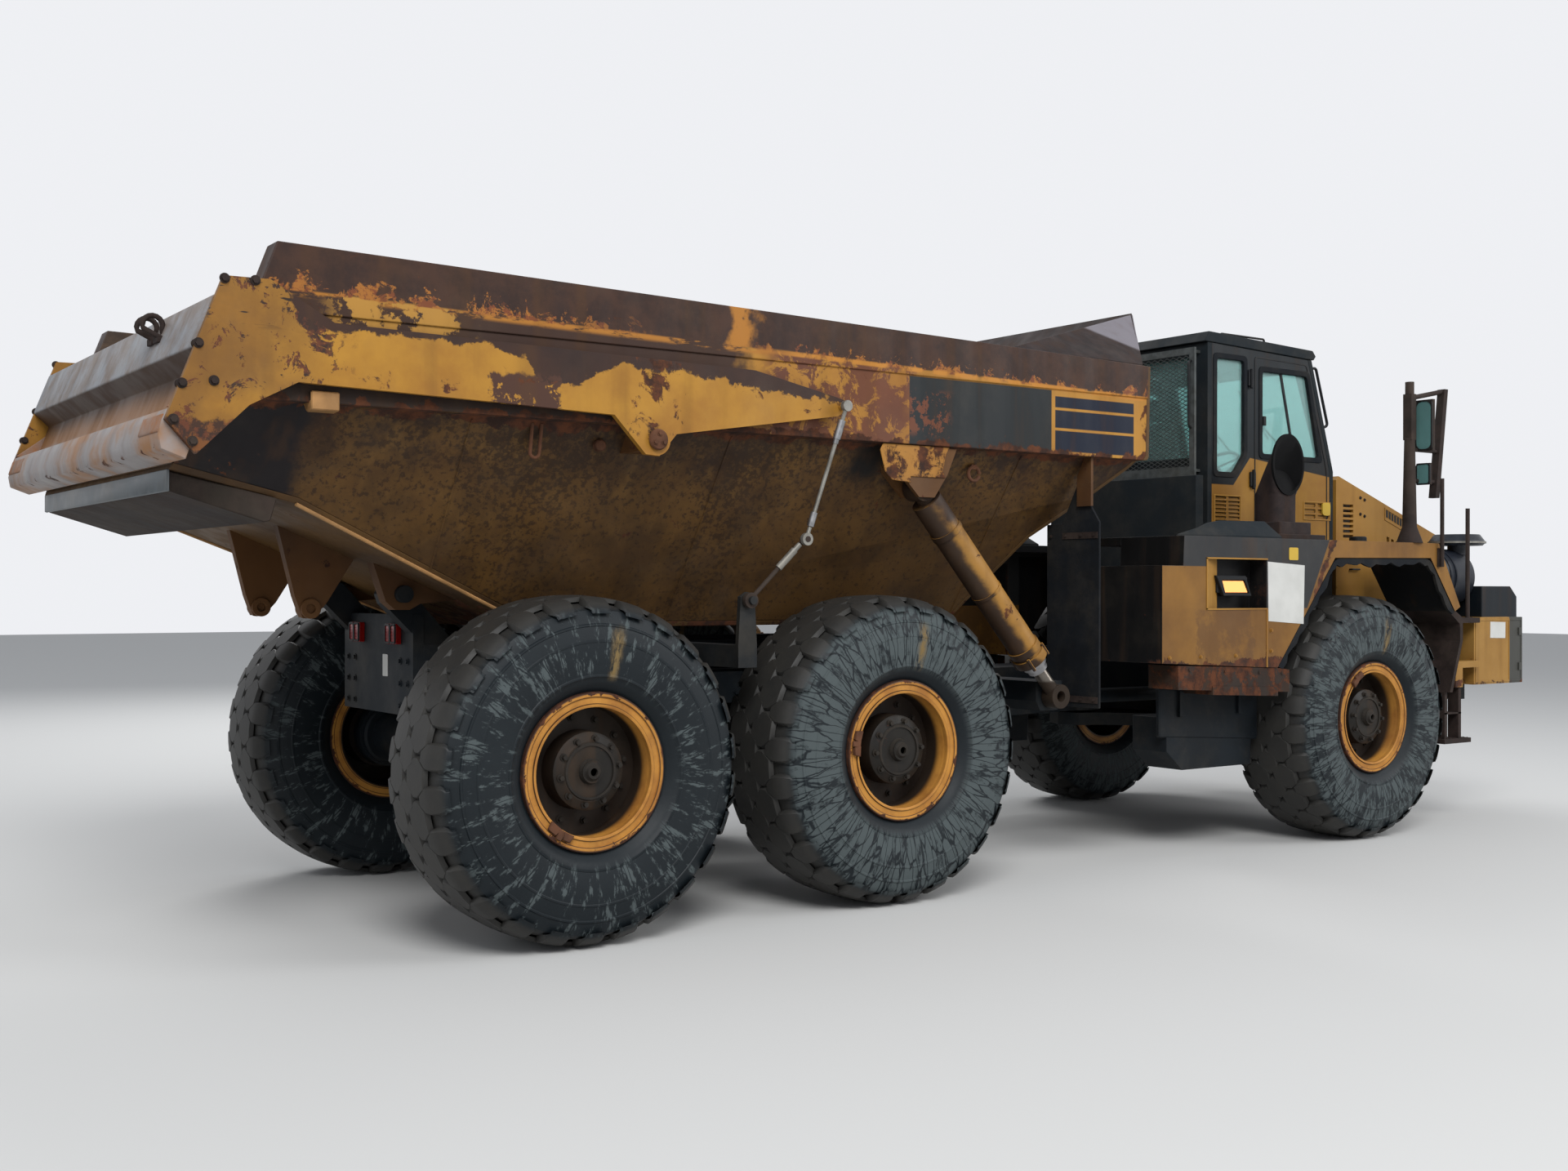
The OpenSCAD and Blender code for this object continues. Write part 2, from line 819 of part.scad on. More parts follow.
// Left wall: pillar and rear window behind the door.
door_x = 6060;
hinge_zs = [2380, 3250];
module cab_left_wall() {
    color(slate) place()
        difference() {
            xz([
                [5515 + wall, 2010], [door_x - 10, 2010], [door_x - 10, 3580], [5515 + wall, 3597]
            ], cab_hw - wall, cab_hw);
            xz(rear_win, cab_hw - 100, cab_hw + 50);
        }
    color(slate) place()
        for (z = hinge_zs) {
            translate([door_x - 8, cab_hw + 15, z]) cylinder(r = 8, h = 140);
            for (u = [0, 95])
                box([door_x - 60, door_x - 8], [cab_hw, cab_hw + 23], [z + u, z + u + 45]);
        }
}

door_out = [[door_x, 2150], [6935, 2150], [6935, 2709], [6672, 3550], [door_x, 3570]];
module cab_door() {
    color(yellow) place() {
        difference() {
            xz(door_out, cab_hw - 40, cab_hw);
            xz(side_win, cab_hw - 100, cab_hw + 50);
        }
        // knuckles round the hinge pins
        for (z = hinge_zs)
            difference() {
                union() {
                    translate([door_x - 8, cab_hw + 15, z + 47]) cylinder(r = 15, h = 46);
                    box([door_x + 2, door_x + 130], [cab_hw, cab_hw + 22], [z + 47, z + 93]);
                }
                translate([door_x - 8, cab_hw + 15, z]) cylinder(r = 8 + fit_gap, h = 140);
            }
        // handle
        box([6800, 6880], [cab_hw, cab_hw + 30], [2560, 2590]);
    }
}

module door_glass() {
    color(glass) place() xz(inset(side_win, 0.5), cab_hw - 20 - glass_t, cab_hw - 20);
}

module cab_glass() {
    color(glass) place() {
        mirror([0, 1, 0]) xz(inset(side_win, 0.5), cab_hw - 20 - glass_t, cab_hw - 20);
        both() xz(inset(rear_win, 0.5), cab_hw - 20 - glass_t, cab_hw - 20);
        box([5530, 5530 + glass_t], [150.3 - cab_hw, cab_hw - 150.3], [2760.3, 3499.7]);
        // windscreen, cut to its tapering frame
        intersection() {
            xz([
                [6962, 2741], [6962 + glass_t, 2741], [6733 + glass_t, 3479], [6733, 3479]
            ], -cab_hw, cab_hw);
            yz([
                [110.5 - cab_hw, 2740.4], [cab_hw - 110.5, 2740.4],
                [cab_hw - 150.5, 3479.6], [150.5 - cab_hw, 3479.6]
            ], 6600, 7000);
        }
    }
}

module cab_seat() {
    color([0.15, 0.15, 0.16]) place() {
        box([5800, 6300], [-250, 250], [2010, 2400]);
        box([5800, 6320], [-260, 260], [2400, 2520]);
        xz([[5740, 2520], [5880, 2520], [5800, 3080], [5690, 3080]], -250, 250);
        box([5690, 5790], [-140, 140], [3080, 3260]);
        box([6700, 6943], [50 - cab_hw, cab_hw - 50], [2400, 2700]);
        rod([6700, 0, 2500], [6500, 0, 2760], 30);
        translate([6500, 0, 2760]) rotate([0, -38, 0])
            difference() {
                cylinder(r = 210, h = 30);
                translate([0, 0, -5]) cylinder(r = 180, h = 40);
            }
        translate([6500, 0, 2760]) rotate([0, -38, 0]) box([-15, 15], [-190, 190], [0, 20]);
    }
}

// Dark panels and diamond guard behind the cab.
module cab_rear_guard() {
    color(slate) place() {
        difference() {
            box([5440, 5460], [60 - cab_hw, cab_hw - 60], [2620, 3560]);
            box([5430, 5470], [110 - cab_hw, cab_hw - 110], [2690, 3510]);
        }
        for (y = [80 - cab_hw, cab_hw - 80])
            for (z = [2660, 3530])
                box([5460, 5515], [y - 10, y + 10], [z - 10, z + 10]);
        // flat bars across the opening
        for (i = [0 : 11])
            box([5445, 5455], [108 - cab_hw, cab_hw - 108], [2740 + i * 64, 2750 + i * 64]);
    }
}

hood_out = [
    [7080, 1400], [8380, 1400], [8420, 1500], [8444, 2225], [7602, 2505], [7073, 2681],
    [7040, 2660]
];

bonnet_x = 8480;
bonnet_z = 1380;
module hood() {
    color(yellow) place() {
        both()
            difference() {
                xz([
                    [8400, 1365], [8420, 1370], [8506, 1362], [8506, 1400], [8424, 1440]
                ], 588, 612);
                bar_y(bonnet_x, bonnet_z, 14 + fit_gap, 580, 620);
            }
        difference() {
            xz([
                [7040, 1750], [8360, 1350], [8420, 1370], [8444, 2225], [7602, 2505],
                [7073, 2681], [7040, 2650]
            ], -hood_hw, hood_hw);
            xz([
                [7000, 1700], [8330, 1300], [8389, 1310], [8410, 2195], [7590, 2470],
                [7000, 2640]
            ], 35 - hood_hw, hood_hw - 35);
            // opening of the front grille
            box([8300, 8500], [180 - hood_hw, hood_hw - 180], [1440, 2120]);
            // side louvres
            both() {
                for (i = [0 : 6])
                    box([7130, 7260], [hood_hw - 50, hood_hw + 20], [2200 + i * 40, 2222 + i * 40]);
                for (i = [0 : 6])
                    xz([
                        [7700 + i * 60, 2100 + i * -18], [7735 + i * 60, 2090 + i * -18],
                        [7735 + i * 60, 2210 + i * -18], [7700 + i * 60, 2220 + i * -18]
                    ], hood_hw - 50, hood_hw + 20);
            }
        }
    }
}

module grille() {
    color(slate) place() {
        difference() {
            box([8392, 8402], [180.5 - hood_hw, hood_hw - 180.5], [1440.5, 2119.5]);
            for (i = [0 : 7])
                box([8380, 8420], [210 - hood_hw, hood_hw - 210], [1470 + i * 80, 1520 + i * 80]);
        }
        for (i = [0 : 7])
            box([8380, 8392], [200 - hood_hw, hood_hw - 200], [1460 + i * 80, 1480 + i * 80]);
    }
}

module engine() {
    color(grey) place() box([7080, 8240], [-340, 340], [1300, 2040]);
}

// Stack that leans outward to an oval mouth in its side.
module stack(grow, up) {
    hull() {
        box([5550 + grow, 6020 - grow], [cab_hw + 40 + grow, 1150 - grow], [2136 + grow, 2450]);
        translate([5880, 1172, 2690])
            rotate([-90, 0, -6])
                scale([0.8, 1, 1]) cylinder(r = 215 - grow, h = 8 + up, $fn = 48);
    }
}

module exhaust() {
    color(rust) place()
        mirror([0, 1, 0])
            difference() {
                stack(0, 0);
                stack(10, 4);
            }
}

module air_cleaner() {
    color(navy) place()
        mirror([0, 1, 0]) {
            translate([7530, 1135, 1890]) rotate([0, 90, 0]) {
                cylinder(r1 = 150, r2 = 222, h = 30);
                translate([0, 0, 30]) cylinder(r = 222, h = 390);
                for (z = [90, 160])
                    translate([0, 0, z]) cylinder(r = 230, h = 22);
                translate([0, 0, 420]) cylinder(r1 = 222, r2 = 130, h = 40);
            }
            translate([7950, 1200, 2050]) cylinder(r = 70, h = 110);
            translate([7950, 1200, 2140]) cylinder(r1 = 190, r2 = 215, h = 25);
            translate([7950, 1200, 2165]) cylinder(r1 = 215, r2 = 170, h = 62);
            box([7680, 7860], [1060, 1210], [box_z, 1700]);
        }
}

module mirrors() {
    color(rust) place()
        both() {
            translate([6900, 1480, 2136]) cylinder(r1 = 95, r2 = 52, h = 120);
            translate([6900, 1480, 2256]) cylinder(r1 = 52, r2 = 38, h = 660);
            box([6870, 6930], [1445, 1515], [2900, 3240]);
            translate([6900, 1480, 3240]) cylinder(r = 32, h = 90);
            rod([6900, 1480, 3210], [7322, 1480, 3290], 18);
            xz([
                [7345, 3305], [7300, 3305], [7185, 2480], [7235, 2480]
            ], 1450, 1510);
            rod([6900, 1480, 2830], [7240, 1480, 2830], 14);
            rod([6900, 1480, 2600], [7215, 1480, 2600], 16);
            box([6990, 7018], [1470, 1612], [2820, 3200]);
            box([7000, 7022], [1470, 1585], [2570, 2730]);
        }
}

module steps() {
    color(brown) place()
        both() {
            // guard in front of the tyre
            xz([
                [7420, 1010], [7455, 1010], [7590, 1400], [7590, box_z], [7440, 1657.2],
                [7390, 1633.3], [7550, 1530], [7555, 1400]
            ], 1000, 1480);
            // deck behind the corner box
            box([7590, box_x], [1000, 1450], [box_z - 40, box_z]);
            box([7420, 7455], [1345, 1435], [650, 1010]);
            box([7602, 7638], [1345, 1435], [650, 1040]);
            box([7390, 7740], [1320, 1455], [615, 650]);
            translate([7740, 1425, box_z]) cylinder(r = 16, h = 845);
            // handrail in front of the mirror
            box([7140, 7180], [1550, 1566], [1960, 2100]);
            translate([7160, 1580, 1960]) cylinder(r = 15, h = 660);
        }
}

steer_z = 1040;
steer_back = [3520, 520, steer_z];
steer_front = [5300, 620, steer_z];
steer_len = norm([steer_back[0] - steer_front[0], steer_back[1] - steer_front[1]]);
steer_pin = 28;
steer_rod_r = 32;

// Draws along a steering cylinder's axis, from its front eye back.
module along_steer(side) {
    d = [steer_back[0] - steer_front[0], side * (steer_back[1] - steer_front[1])];
    translate([steer_front[0], side * steer_front[1], steer_front[2]])
        rotate([0, 0, atan2(d[1], d[0])])
            rotate([0, 90, 0]) children();
}

module steer_barrel(side) {
    color(yellow) place()
        along_steer(side) {
            difference() {
                union() {
                    rotate([0, 90, 0]) cylinder(r = 58, h = 90, center = true);
                    translate([0, 0, 30]) cylinder(r = 38, h = 40);
                }
                rotate([0, 90, 0]) cylinder(r = steer_pin + fit_gap, h = 100, center = true);
            }
            tube(50, steer_rod_r + fit_gap, 60, 1080, 20);
        }
}

module steer_rod(side) {
    color(steel) place()
        along_steer(side) {
            translate([0, 0, 545]) cylinder(r = steer_rod_r, h = steer_len - 545 - 40);
            difference() {
                translate([0, 0, steer_len])
                    rotate([0, 90, 0]) cylinder(r = 55, h = 80, center = true);
                translate([0, 0, steer_len])
                    rotate([0, 90, 0]) cylinder(r = steer_pin + fit_gap, h = 100, center = true);
            }
        }
}

module left_steer_barrel() { steer_barrel(1); }
module right_steer_barrel() { steer_barrel(-1); }
module left_steer_rod() { steer_rod(1); }
module right_steer_rod() { steer_rod(-1); }

rear_frame();
bogie();
tail_lamps();
rear_right_tyre();
rear_left_tyre();
middle_right_tyre();
middle_left_tyre();
front_right_tyre();
front_left_tyre();
rear_right_rim();
rear_left_rim();
middle_right_rim();
middle_left_rim();
front_right_rim();
front_left_rim();
bed_floor();
bed_front();
bed_left_side();
bed_right_side();
spill_guard();
bed_brackets();
mud_flaps();
gate_left_arm();
gate_right_arm();
gate_panel();
rope_foot_links();
rope_head_links();
hoist_barrels();
hoist_stage_1();
hoist_stage_2();
hoist_rods();
front_frame();
front_axle();
corner_boxes();
left_fender();
right_fender();
belly_tanks();
lamps();
cab_floor();
cab_roof();
cab_rear_wall();
cab_front_wall();
cab_right_wall();
cab_left_wall();
cab_door();
door_glass();
cab_glass();
cab_seat();
cab_rear_guard();
hood();
grille();
engine();
exhaust();
air_cleaner();
mirrors();
steps();
left_steer_barrel();
right_steer_barrel();
left_steer_rod();
right_steer_rod();
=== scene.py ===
import math

import bmesh
import bpy
from mathutils import Matrix, Vector


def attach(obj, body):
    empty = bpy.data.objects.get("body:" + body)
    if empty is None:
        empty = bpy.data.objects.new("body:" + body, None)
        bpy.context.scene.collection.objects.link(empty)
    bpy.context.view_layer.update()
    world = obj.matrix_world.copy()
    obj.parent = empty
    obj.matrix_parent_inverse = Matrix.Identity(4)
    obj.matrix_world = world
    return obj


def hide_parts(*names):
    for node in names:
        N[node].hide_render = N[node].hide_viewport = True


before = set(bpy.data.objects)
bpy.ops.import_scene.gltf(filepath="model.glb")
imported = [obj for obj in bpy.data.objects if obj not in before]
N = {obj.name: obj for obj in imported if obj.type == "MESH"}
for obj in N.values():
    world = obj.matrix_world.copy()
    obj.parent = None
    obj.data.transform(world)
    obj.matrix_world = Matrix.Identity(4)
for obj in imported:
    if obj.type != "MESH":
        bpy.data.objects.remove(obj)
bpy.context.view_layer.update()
scene = bpy.context.scene

# Metres. x is measured from the rear axle, y from the middle plane and z from the ground.
MID = 3.225  # x of the frame's origin
AXLES = {"rear": 0.0, "middle": 1.970, "front": 6.320}
AXLE_Z = 0.875
TRACK_Y = 1.295
REAR, FRONT = "rear_chassis", "front_chassis"


def P(x, y, z):
    """A point of the truck in the row frame."""
    return Vector((x - MID, y, z))


def shade(rgb):
    """A linear colour from display values of 0 to 255."""
    out = []
    for v in rgb:
        v /= 255.0
        out.append(v / 12.92 if v <= 0.04045 else ((v + 0.055) / 1.055) ** 2.4)
    return (*out, 1.0)


# Node trees

class Nodes:
    """Short calls that build a node tree. Masks are 0 or 1 with a soft edge between."""

    def __init__(self, tree):
        self.t = tree
        self.cache = {}

    def add(self, kind, **props):
        node = self.t.nodes.new(kind)
        for key, v in props.items():
            setattr(node, key, v)
        return node

    def link(self, a, b):
        self.t.links.new(a, b)

    def put(self, v, sock):
        """Sets a number or a colour on a socket, or links to it."""
        if isinstance(v, (int, float)):
            sock.default_value = v
        elif isinstance(v, tuple):
            sock.default_value = shade(v) if len(v) == 3 else v
        else:
            self.link(v, sock)

    def place(self, kind):
        """The point in the object's own axes, or its normal."""
        if "tex" not in self.cache:
            self.cache["tex"] = self.add("ShaderNodeTexCoord")
        return self.cache["tex"].outputs[kind]

    def part(self, name):
        """X, Y or Z of the point; nx, ny or nz of its normal."""
        if name in self.cache:
            return self.cache[name]
        of_normal = name[0] == "n"
        split = self.add("ShaderNodeSeparateXYZ")
        self.link(self.place("Normal" if of_normal else "Object"), split.inputs[0])
        for axis in "XYZ":
            self.cache["n" + axis.lower() if of_normal else axis] = split.outputs[axis]
        if not of_normal:
            self.cache["X"] = self.math("ADD", split.outputs["X"], MID)
        return self.cache[name]

    def noise(self, scale, detail, rough, stretch=(1, 1, 1), loc=(0, 0, 0), dist=0.0, vector=None,
              out="Fac"):
        """Noise in the object's own axes, or over another vector."""
        tex = self.add("ShaderNodeTexNoise")
        for key, v in (("Scale", scale), ("Detail", detail), ("Roughness", rough), ("Distortion", dist)):
            tex.inputs[key].default_value = v
        if vector is None:
            mapping = self.add("ShaderNodeMapping")
            mapping.inputs["Scale"].default_value = stretch
            mapping.inputs["Location"].default_value = loc
            self.link(self.place("Object"), mapping.inputs["Vector"])
            vector = mapping.outputs["Vector"]
        self.link(vector, tex.inputs["Vector"])
        return tex.outputs[out]

    def scaled(self, fac, lo, hi, a, b, kind="LINEAR"):
        """A value that goes from a to b while fac goes from lo to hi."""
        node = self.add("ShaderNodeMapRange")
        node.interpolation_type = kind
        for key, v in (("From Min", lo), ("From Max", hi), ("To Min", a), ("To Max", b)):
            node.inputs[key].default_value = v
        self.link(fac, node.inputs["Value"])
        return node.outputs["Result"]

    def ramp(self, fac, lo, hi, a=0.0, b=1.0):
        return self.scaled(fac, lo, hi, a, b, "SMOOTHSTEP")

    def spots(self, lo, hi, *noise, **more):
        """Noise drawn out between two of its levels."""
        return self.ramp(self.noise(*noise, **more), lo, hi)

    def math(self, op, a, b=None, c=None):
        node = self.add("ShaderNodeMath", operation=op)
        for i, v in enumerate((a, b, c)):
            if v is not None:
                self.put(v, node.inputs[i])
        return node.outputs[0]

    def mad(self, a, b, c):
        return self.math("MULTIPLY_ADD", a, b, c)

    def less(self, a, b):
        return self.math("SUBTRACT", a, b)

    def most(self, a, b):
        return self.math("MAXIMUM", a, b)

    def plus(self, out, *more):
        for v in more:
            out = self.math("ADD", out, v)
        return out

    def times(self, out, *more):
        """Product of numbers, or the place where all masks are 1."""
        for v in more:
            out = self.math("MULTIPLY", out, v)
        return out

    def mix(self, fac, a, b):
        node = self.add("ShaderNodeMix", data_type="RGBA")
        self.put(fac, node.inputs["Factor"])
        self.put(a, node.inputs["A"])
        self.put(b, node.inputs["B"])
        return node.outputs["Result"]

    def below(self, v, edge, soft=0.004):
        return self.ramp(v, edge - soft, edge + soft, 1.0, 0.0)

    def above(self, v, edge, soft=0.004):
        return self.ramp(v, edge - soft, edge + soft)

    def span(self, v, lo, hi, soft=0.004):
        return self.times(self.above(v, lo, soft), self.below(v, hi, soft))

    def near(self, v, place, reach, weight=1.0):
        """A value that grows to its weight toward a place."""
        return self.ramp(self.math("ABSOLUTE", self.less(v, place)), 0.0, reach, weight, 0.0)

    def unless(self, mask, rest=0.0):
        """1 where the mask is 0, and rest where it is 1."""
        return self.ramp(mask, 0, 1, 1, rest)

    def ragged(self, v, amount, *noise, **more):
        """A value shaken by noise, so that an edge in it is torn."""
        return self.mad(self.less(self.noise(*noise, **more), 0.5), amount, v)

    def line(self, v, pts):
        """Height over v of a broken line through (v, height) points."""
        out = pts[0][1]
        for (a, ha), (b, hb) in zip(pts, pts[1:]):
            out = self.math("ADD", self.scaled(v, a, b, 0.0, hb - ha), out)
        return out

    def side(self):
        """Distance from the middle plane."""
        return self.math("ABSOLUTE", self.part("Y"))

    def outward(self):
        """Above 0 where a face looks away from the middle plane."""
        return self.times(self.part("ny"), self.math("SIGN", self.part("Y")))

    def bump(self, height, strength, distance):
        node = self.add("ShaderNodeBump")
        node.inputs["Strength"].default_value = strength
        node.inputs["Distance"].default_value = distance
        self.link(height, node.inputs["Height"])
        return node.outputs["Normal"]


M = {}  # every material by its name


class Paint(Nodes):
    """A material whose colour is laid on in coats."""

    def __init__(self, name, rough=0.5, metallic=0.0):
        M[name] = bpy.data.materials.new(name)
        M[name].use_nodes = True
        super().__init__(M[name].node_tree)
        self.inputs = self.t.nodes["Principled BSDF"].inputs
        self.set("Specular IOR Level", 0.22)
        self.set("Metallic", metallic)
        self.set("Roughness", rough)
        self.col = None

    def set(self, socket, v):
        self.put(v, self.inputs[socket])

    def coat(self, mask, a, b=None, fac=None):
        """Lays colour a over the last coats where the mask is 1, or a mix of a and b by fac."""
        self.col = self.mix(mask, self.col, a if b is None else self.mix(fac, a, b))

    def base(self, cloud, a, b):
        self.col = self.mix(cloud, a, b)

    def finish(self, rough, normal):
        self.set("Base Color", self.col)
        self.set("Roughness", rough)
        self.set("Normal", normal)

    def chips(self, amount, biases=(), scale=6.0):
        """Mask of rust spots, more of them where the biases are high."""
        edge = 0.74 - 0.22 * amount
        return self.ramp(self.plus(self.noise(scale, 8, 0.7, dist=0.4), *biases), edge, edge + 0.05)

    def worn(self, rust_mask, rough=0.5, dirt=0.4):
        """Adds run marks, dust and rust to the colour, and finishes the shader."""
        run = self.noise(5.0, 3, 0.5, stretch=(1.6, 1.6, 0.12), loc=(3, 1, 2))
        self.coat(self.times(self.ramp(run, 0.5, 0.72), 0.5 * dirt), (84, 58, 34))
        self.coat(self.times(self.spots(0.45, 0.8, 2.2, 6, 0.65, loc=(7, 2, 1)), 0.22 * dirt), DUST)
        fine = self.noise(60, 4, 0.6)
        sheen = self.ramp(run, 0.3, 0.7, rough - 0.06, rough + 0.12)
        if rust_mask is None:
            grain = self.times(fine, 0.15)
        else:
            self.coat(rust_mask, RUST, RUST_DARK, self.spots(0.36, 0.64, 11, 6, 0.65, loc=(5, 1, 3)))
            sheen = self.plus(self.times(rust_mask, 0.3), sheen)
            grain = self.plus(self.times(fine, self.mad(rust_mask, 0.8, 0.1)), self.times(rust_mask, -0.5))
        self.finish(sheen, self.bump(grain, 0.35, 0.004))


RUST, RUST_DARK = (92, 54, 34), (50, 34, 28)
NAVY = (15, 21, 26)
DUST = (112, 102, 86)


# Paints of the large forms

def bed_side_paint():
    """Band, top rail, blank dark panel, stripes, slope and inner face of the bed's sides."""
    n = Paint("bed_side")
    x, z = n.part("X"), n.part("Z")
    wob = n.noise(3.0, 5, 0.6, loc=(1, 5, 2))
    zw, xw = n.mad(wob, 0.16, z), n.mad(wob, 0.4, x)
    seam = n.mad(x, 0.0185, z)
    n.base(n.spots(0.35, 0.7, 1.3, 5, 0.6), (170, 122, 48), (142, 96, 40))
    # the band is bare and brown above the arm, and eaten by rust in front of it
    n.coat(n.times(n.below(xw, 1.08, 0.05), n.above(zw, 2.80, 0.05)), (46, 31, 27), (64, 43, 31), wob)
    strip = n.times(n.span(seam, 3.035, 3.075, 0.012), n.spots(0.46, 0.54, 7, 6, 0.7, stretch=(0.5, 1, 2)))
    n.coat(n.times(strip, n.below(x, 1.1, 0.1)), (160, 106, 42))
    cream = n.times(n.span(xw, -1.12, -0.50, 0.08), n.span(seam, 2.93, 3.10, 0.02))
    n.coat(n.times(cream, n.spots(0.46, 0.50, 7, 7, 0.7)), (166, 122, 54))
    eaten = n.times(n.span(xw, 1.22, 2.26, 0.10), n.spots(0.44, 0.50, 8, 8, 0.75, dist=0.5))
    n.coat(eaten, (112, 66, 42), (76, 46, 36), wob)
    # blank dark panel, and three navy bars that leave thin yellow lines
    bars = n.plus(*(n.span(z, lo, hi, 0.003) for lo, hi in ((2.883, 2.950), (2.760, 2.867), (2.620, 2.744))))
    panel = n.times(n.span(x, 1.995, 3.105), n.below(z, 2.985))
    dark = n.most(panel, n.times(n.span(x, 3.135, 3.82), bars))
    n.coat(dark, (28, 32, 34), (8, 18, 36), n.above(x, 3.12))
    blotch = n.times(panel, n.span(xw, 2.12, 2.50, 0.05), n.span(z, 2.66, 2.90, 0.03))
    n.coat(n.times(blotch, n.spots(0.50, 0.54, 13, 6, 0.7)), (98, 56, 38))
    # bare rail above the seam, with orange runs along its foot
    rail = n.above(seam, 3.062, 0.006)
    patch = n.times(n.span(xw, 0.98, 1.10, 0.03), n.spots(0.36, 0.5, 14, 4, 0.6))
    brown = n.mix(n.spots(0.36, 0.66, 5, 7, 0.7, loc=(9, 9, 1)), (62, 41, 31), (43, 29, 25))
    n.coat(rail, brown, (160, 106, 42), patch)
    torn = n.mad(n.less(seam, 3.062), -1.5, n.noise(9, 8, 0.75, dist=0.5, loc=(5, 1, 3)))
    where = n.most(n.above(xw, 1.15, 0.10), n.below(xw, 0.30, 0.30))
    runs = n.times(n.ramp(torn, 0.49, 0.52), n.above(seam, 3.055), where)
    n.coat(runs, (112, 62, 36), (150, 96, 42), n.spots(0.44, 0.52, 22, 5, 0.7))
    bright = n.times(n.span(seam, 3.045, 3.070, 0.006), n.above(x, 1.1, 0.2), n.spots(0.36, 0.5, 9, 5, 0.6))
    n.coat(bright, (176, 118, 46))
    # painted shadow on the band's lower part, under the arm
    n.coat(n.times(n.below(z, 2.70, 0.02), n.below(x, 0.9, 0.3)), (40, 28, 22))
    n.coat(n.below(z, 2.601, 0.002), bed_slope(n, x, z, wob))
    inner = n.below(n.outward(), -0.15, 0.03)
    n.coat(inner, (92, 72, 54), (58, 46, 38), n.spots(0.35, 0.65, 7, 7, 0.7, stretch=(0.4, 1, 1)))
    biases = [n.near(z, 2.6, 0.07, 0.24), n.near(x, -1.9, 0.4, 0.12), n.near(x, 3.97, 0.12, 0.2)]
    n.worn(n.times(n.chips(0.42, biases), n.unless(inner)), 0.55, 0.45)


def bed_slope(n, x, z, wob):
    """Colour of the bed's slope: ochre with painted shade toward the band and in the recess where the
    hoist's upper eye sits, faded in runs and specked.
    """
    col = n.mix(n.spots(0.36, 0.66, 2.4, 6, 0.65, loc=(2, 8, 1)), (92, 65, 32), (68, 48, 27))
    # painted shade on the slope's top, under the band
    under = n.times(n.ramp(z, 2.2, 2.6), n.spots(0.42, 0.6, 6, 7, 0.7, loc=(3, 3, 3)))
    col = n.mix(under, col, (50, 34, 24))
    fade = n.spots(0.52, 0.7, 6, 4, 0.5, stretch=(1.4, 1.4, 0.1), loc=(0, 2, 0))
    fade = n.times(fade, n.ramp(z, 1.6, 2.5))
    col = n.mix(n.times(fade, 0.5), col, (112, 82, 42))
    specks = n.plus(n.noise(34, 6, 0.7), n.ramp(z, 1.9, 2.6, 0.0, 0.07), n.near(x, -0.2, 0.6, 0.06),
                    n.near(x, 1.0, 0.4, 0.07))
    col = n.mix(n.ramp(specks, 0.55, 0.64, 0.0, 0.75), col, (46, 32, 22))
    col = n.mix(n.below(n.mad(wob, 0.25, x), -1.28, 0.05), col, (26, 22, 24))
    # painted shade in the recess where the hoist's upper eye sits
    recess_shade = n.times(n.span(x, 1.70, 1.92, 0.06), n.above(z, 2.40, 0.06))
    return n.mix(recess_shade, col, (20, 17, 16))


def cab_wall_paint():
    """Slate above a kinked line, yellow below it."""
    n = Paint("cab_wall", 0.45)
    x, z = n.part("X"), n.part("Z")
    step = n.mad(n.most(n.less(x, 5.80), 0.0), 1.105, 2.56)
    line = n.math("MINIMUM", step, n.mad(x, -0.111, 3.435))
    low = n.times(n.below(n.less(z, line), 0.0), n.above(n.outward(), 0.5, 0.05))
    cloud = n.spots(0.35, 0.7, 1.4, 5, 0.6)
    n.base(low, n.mix(cloud, (14, 22, 27), (9, 14, 18)), n.mix(cloud, (160, 118, 46), (136, 95, 38)))
    n.worn(n.times(low, n.chips(0.15, [n.near(z, 2.05, 0.12, 0.2)])), 0.45, 0.35)


def fender_paint():
    """Yellow, with a grey panel on the outer face and a grey deck."""
    n = Paint("fender", 0.48)
    x, z = n.part("X"), n.part("Z")
    cloud = n.spots(0.35, 0.7, 1.5, 5, 0.6)
    n.base(cloud, (134, 95, 42), (104, 71, 33))
    slant = n.less(x, n.mad(z, 0.525, 4.732))
    tall = n.most(n.times(n.above(x, 5.0), n.above(z, 1.66)), n.above(z, 1.938))
    panel = n.times(tall, n.below(slant, 0.0))
    n.coat(panel, (52, 52, 52), (38, 39, 41), cloud)
    deck = n.above(n.part("nz"), 0.6, 0.1)
    n.coat(deck, (78, 76, 72), (54, 53, 52), cloud)
    # painted shade on faces that look down
    n.coat(n.below(n.part("nz"), -0.4, 0.1), (30, 26, 24))
    wavy = n.ragged(x, 0.5, 5, 6, 0.7)
    stain = n.times(n.span(wavy, 4.46, 5.02, 0.03), n.below(z, 1.655, 0.01), n.spots(0.32, 0.5, 4, 6, 0.7))
    n.coat(n.times(stain, 0.6), (84, 58, 36))
    # painted shade in the lamp's recess and inside the arch, and the rear end's rear faces are dark
    n.coat(n.times(n.span(x, 4.556, 5.174), n.span(z, 1.656, 1.994), n.below(n.side(), 1.545)), (18, 17, 18))
    n.coat(n.times(n.span(x, 5.3, 7.4), n.below(n.outward(), 0.5, 0.1), n.below(z, 2.05)), (16, 16, 18))
    n.coat(n.times(n.below(n.part("nx"), -0.6, 0.1), n.below(x, 4.6)), (17, 17, 18))
    biases = [n.near(z, 1.28, 0.10, 0.22), n.near(slant, 0.05, 0.07, 0.2), n.near(x, 5.17, 0.03, 0.12)]
    n.worn(n.times(n.chips(0.42, biases), n.unless(panel, 0.3), n.unless(deck, 0.2)), 0.48, 0.45)


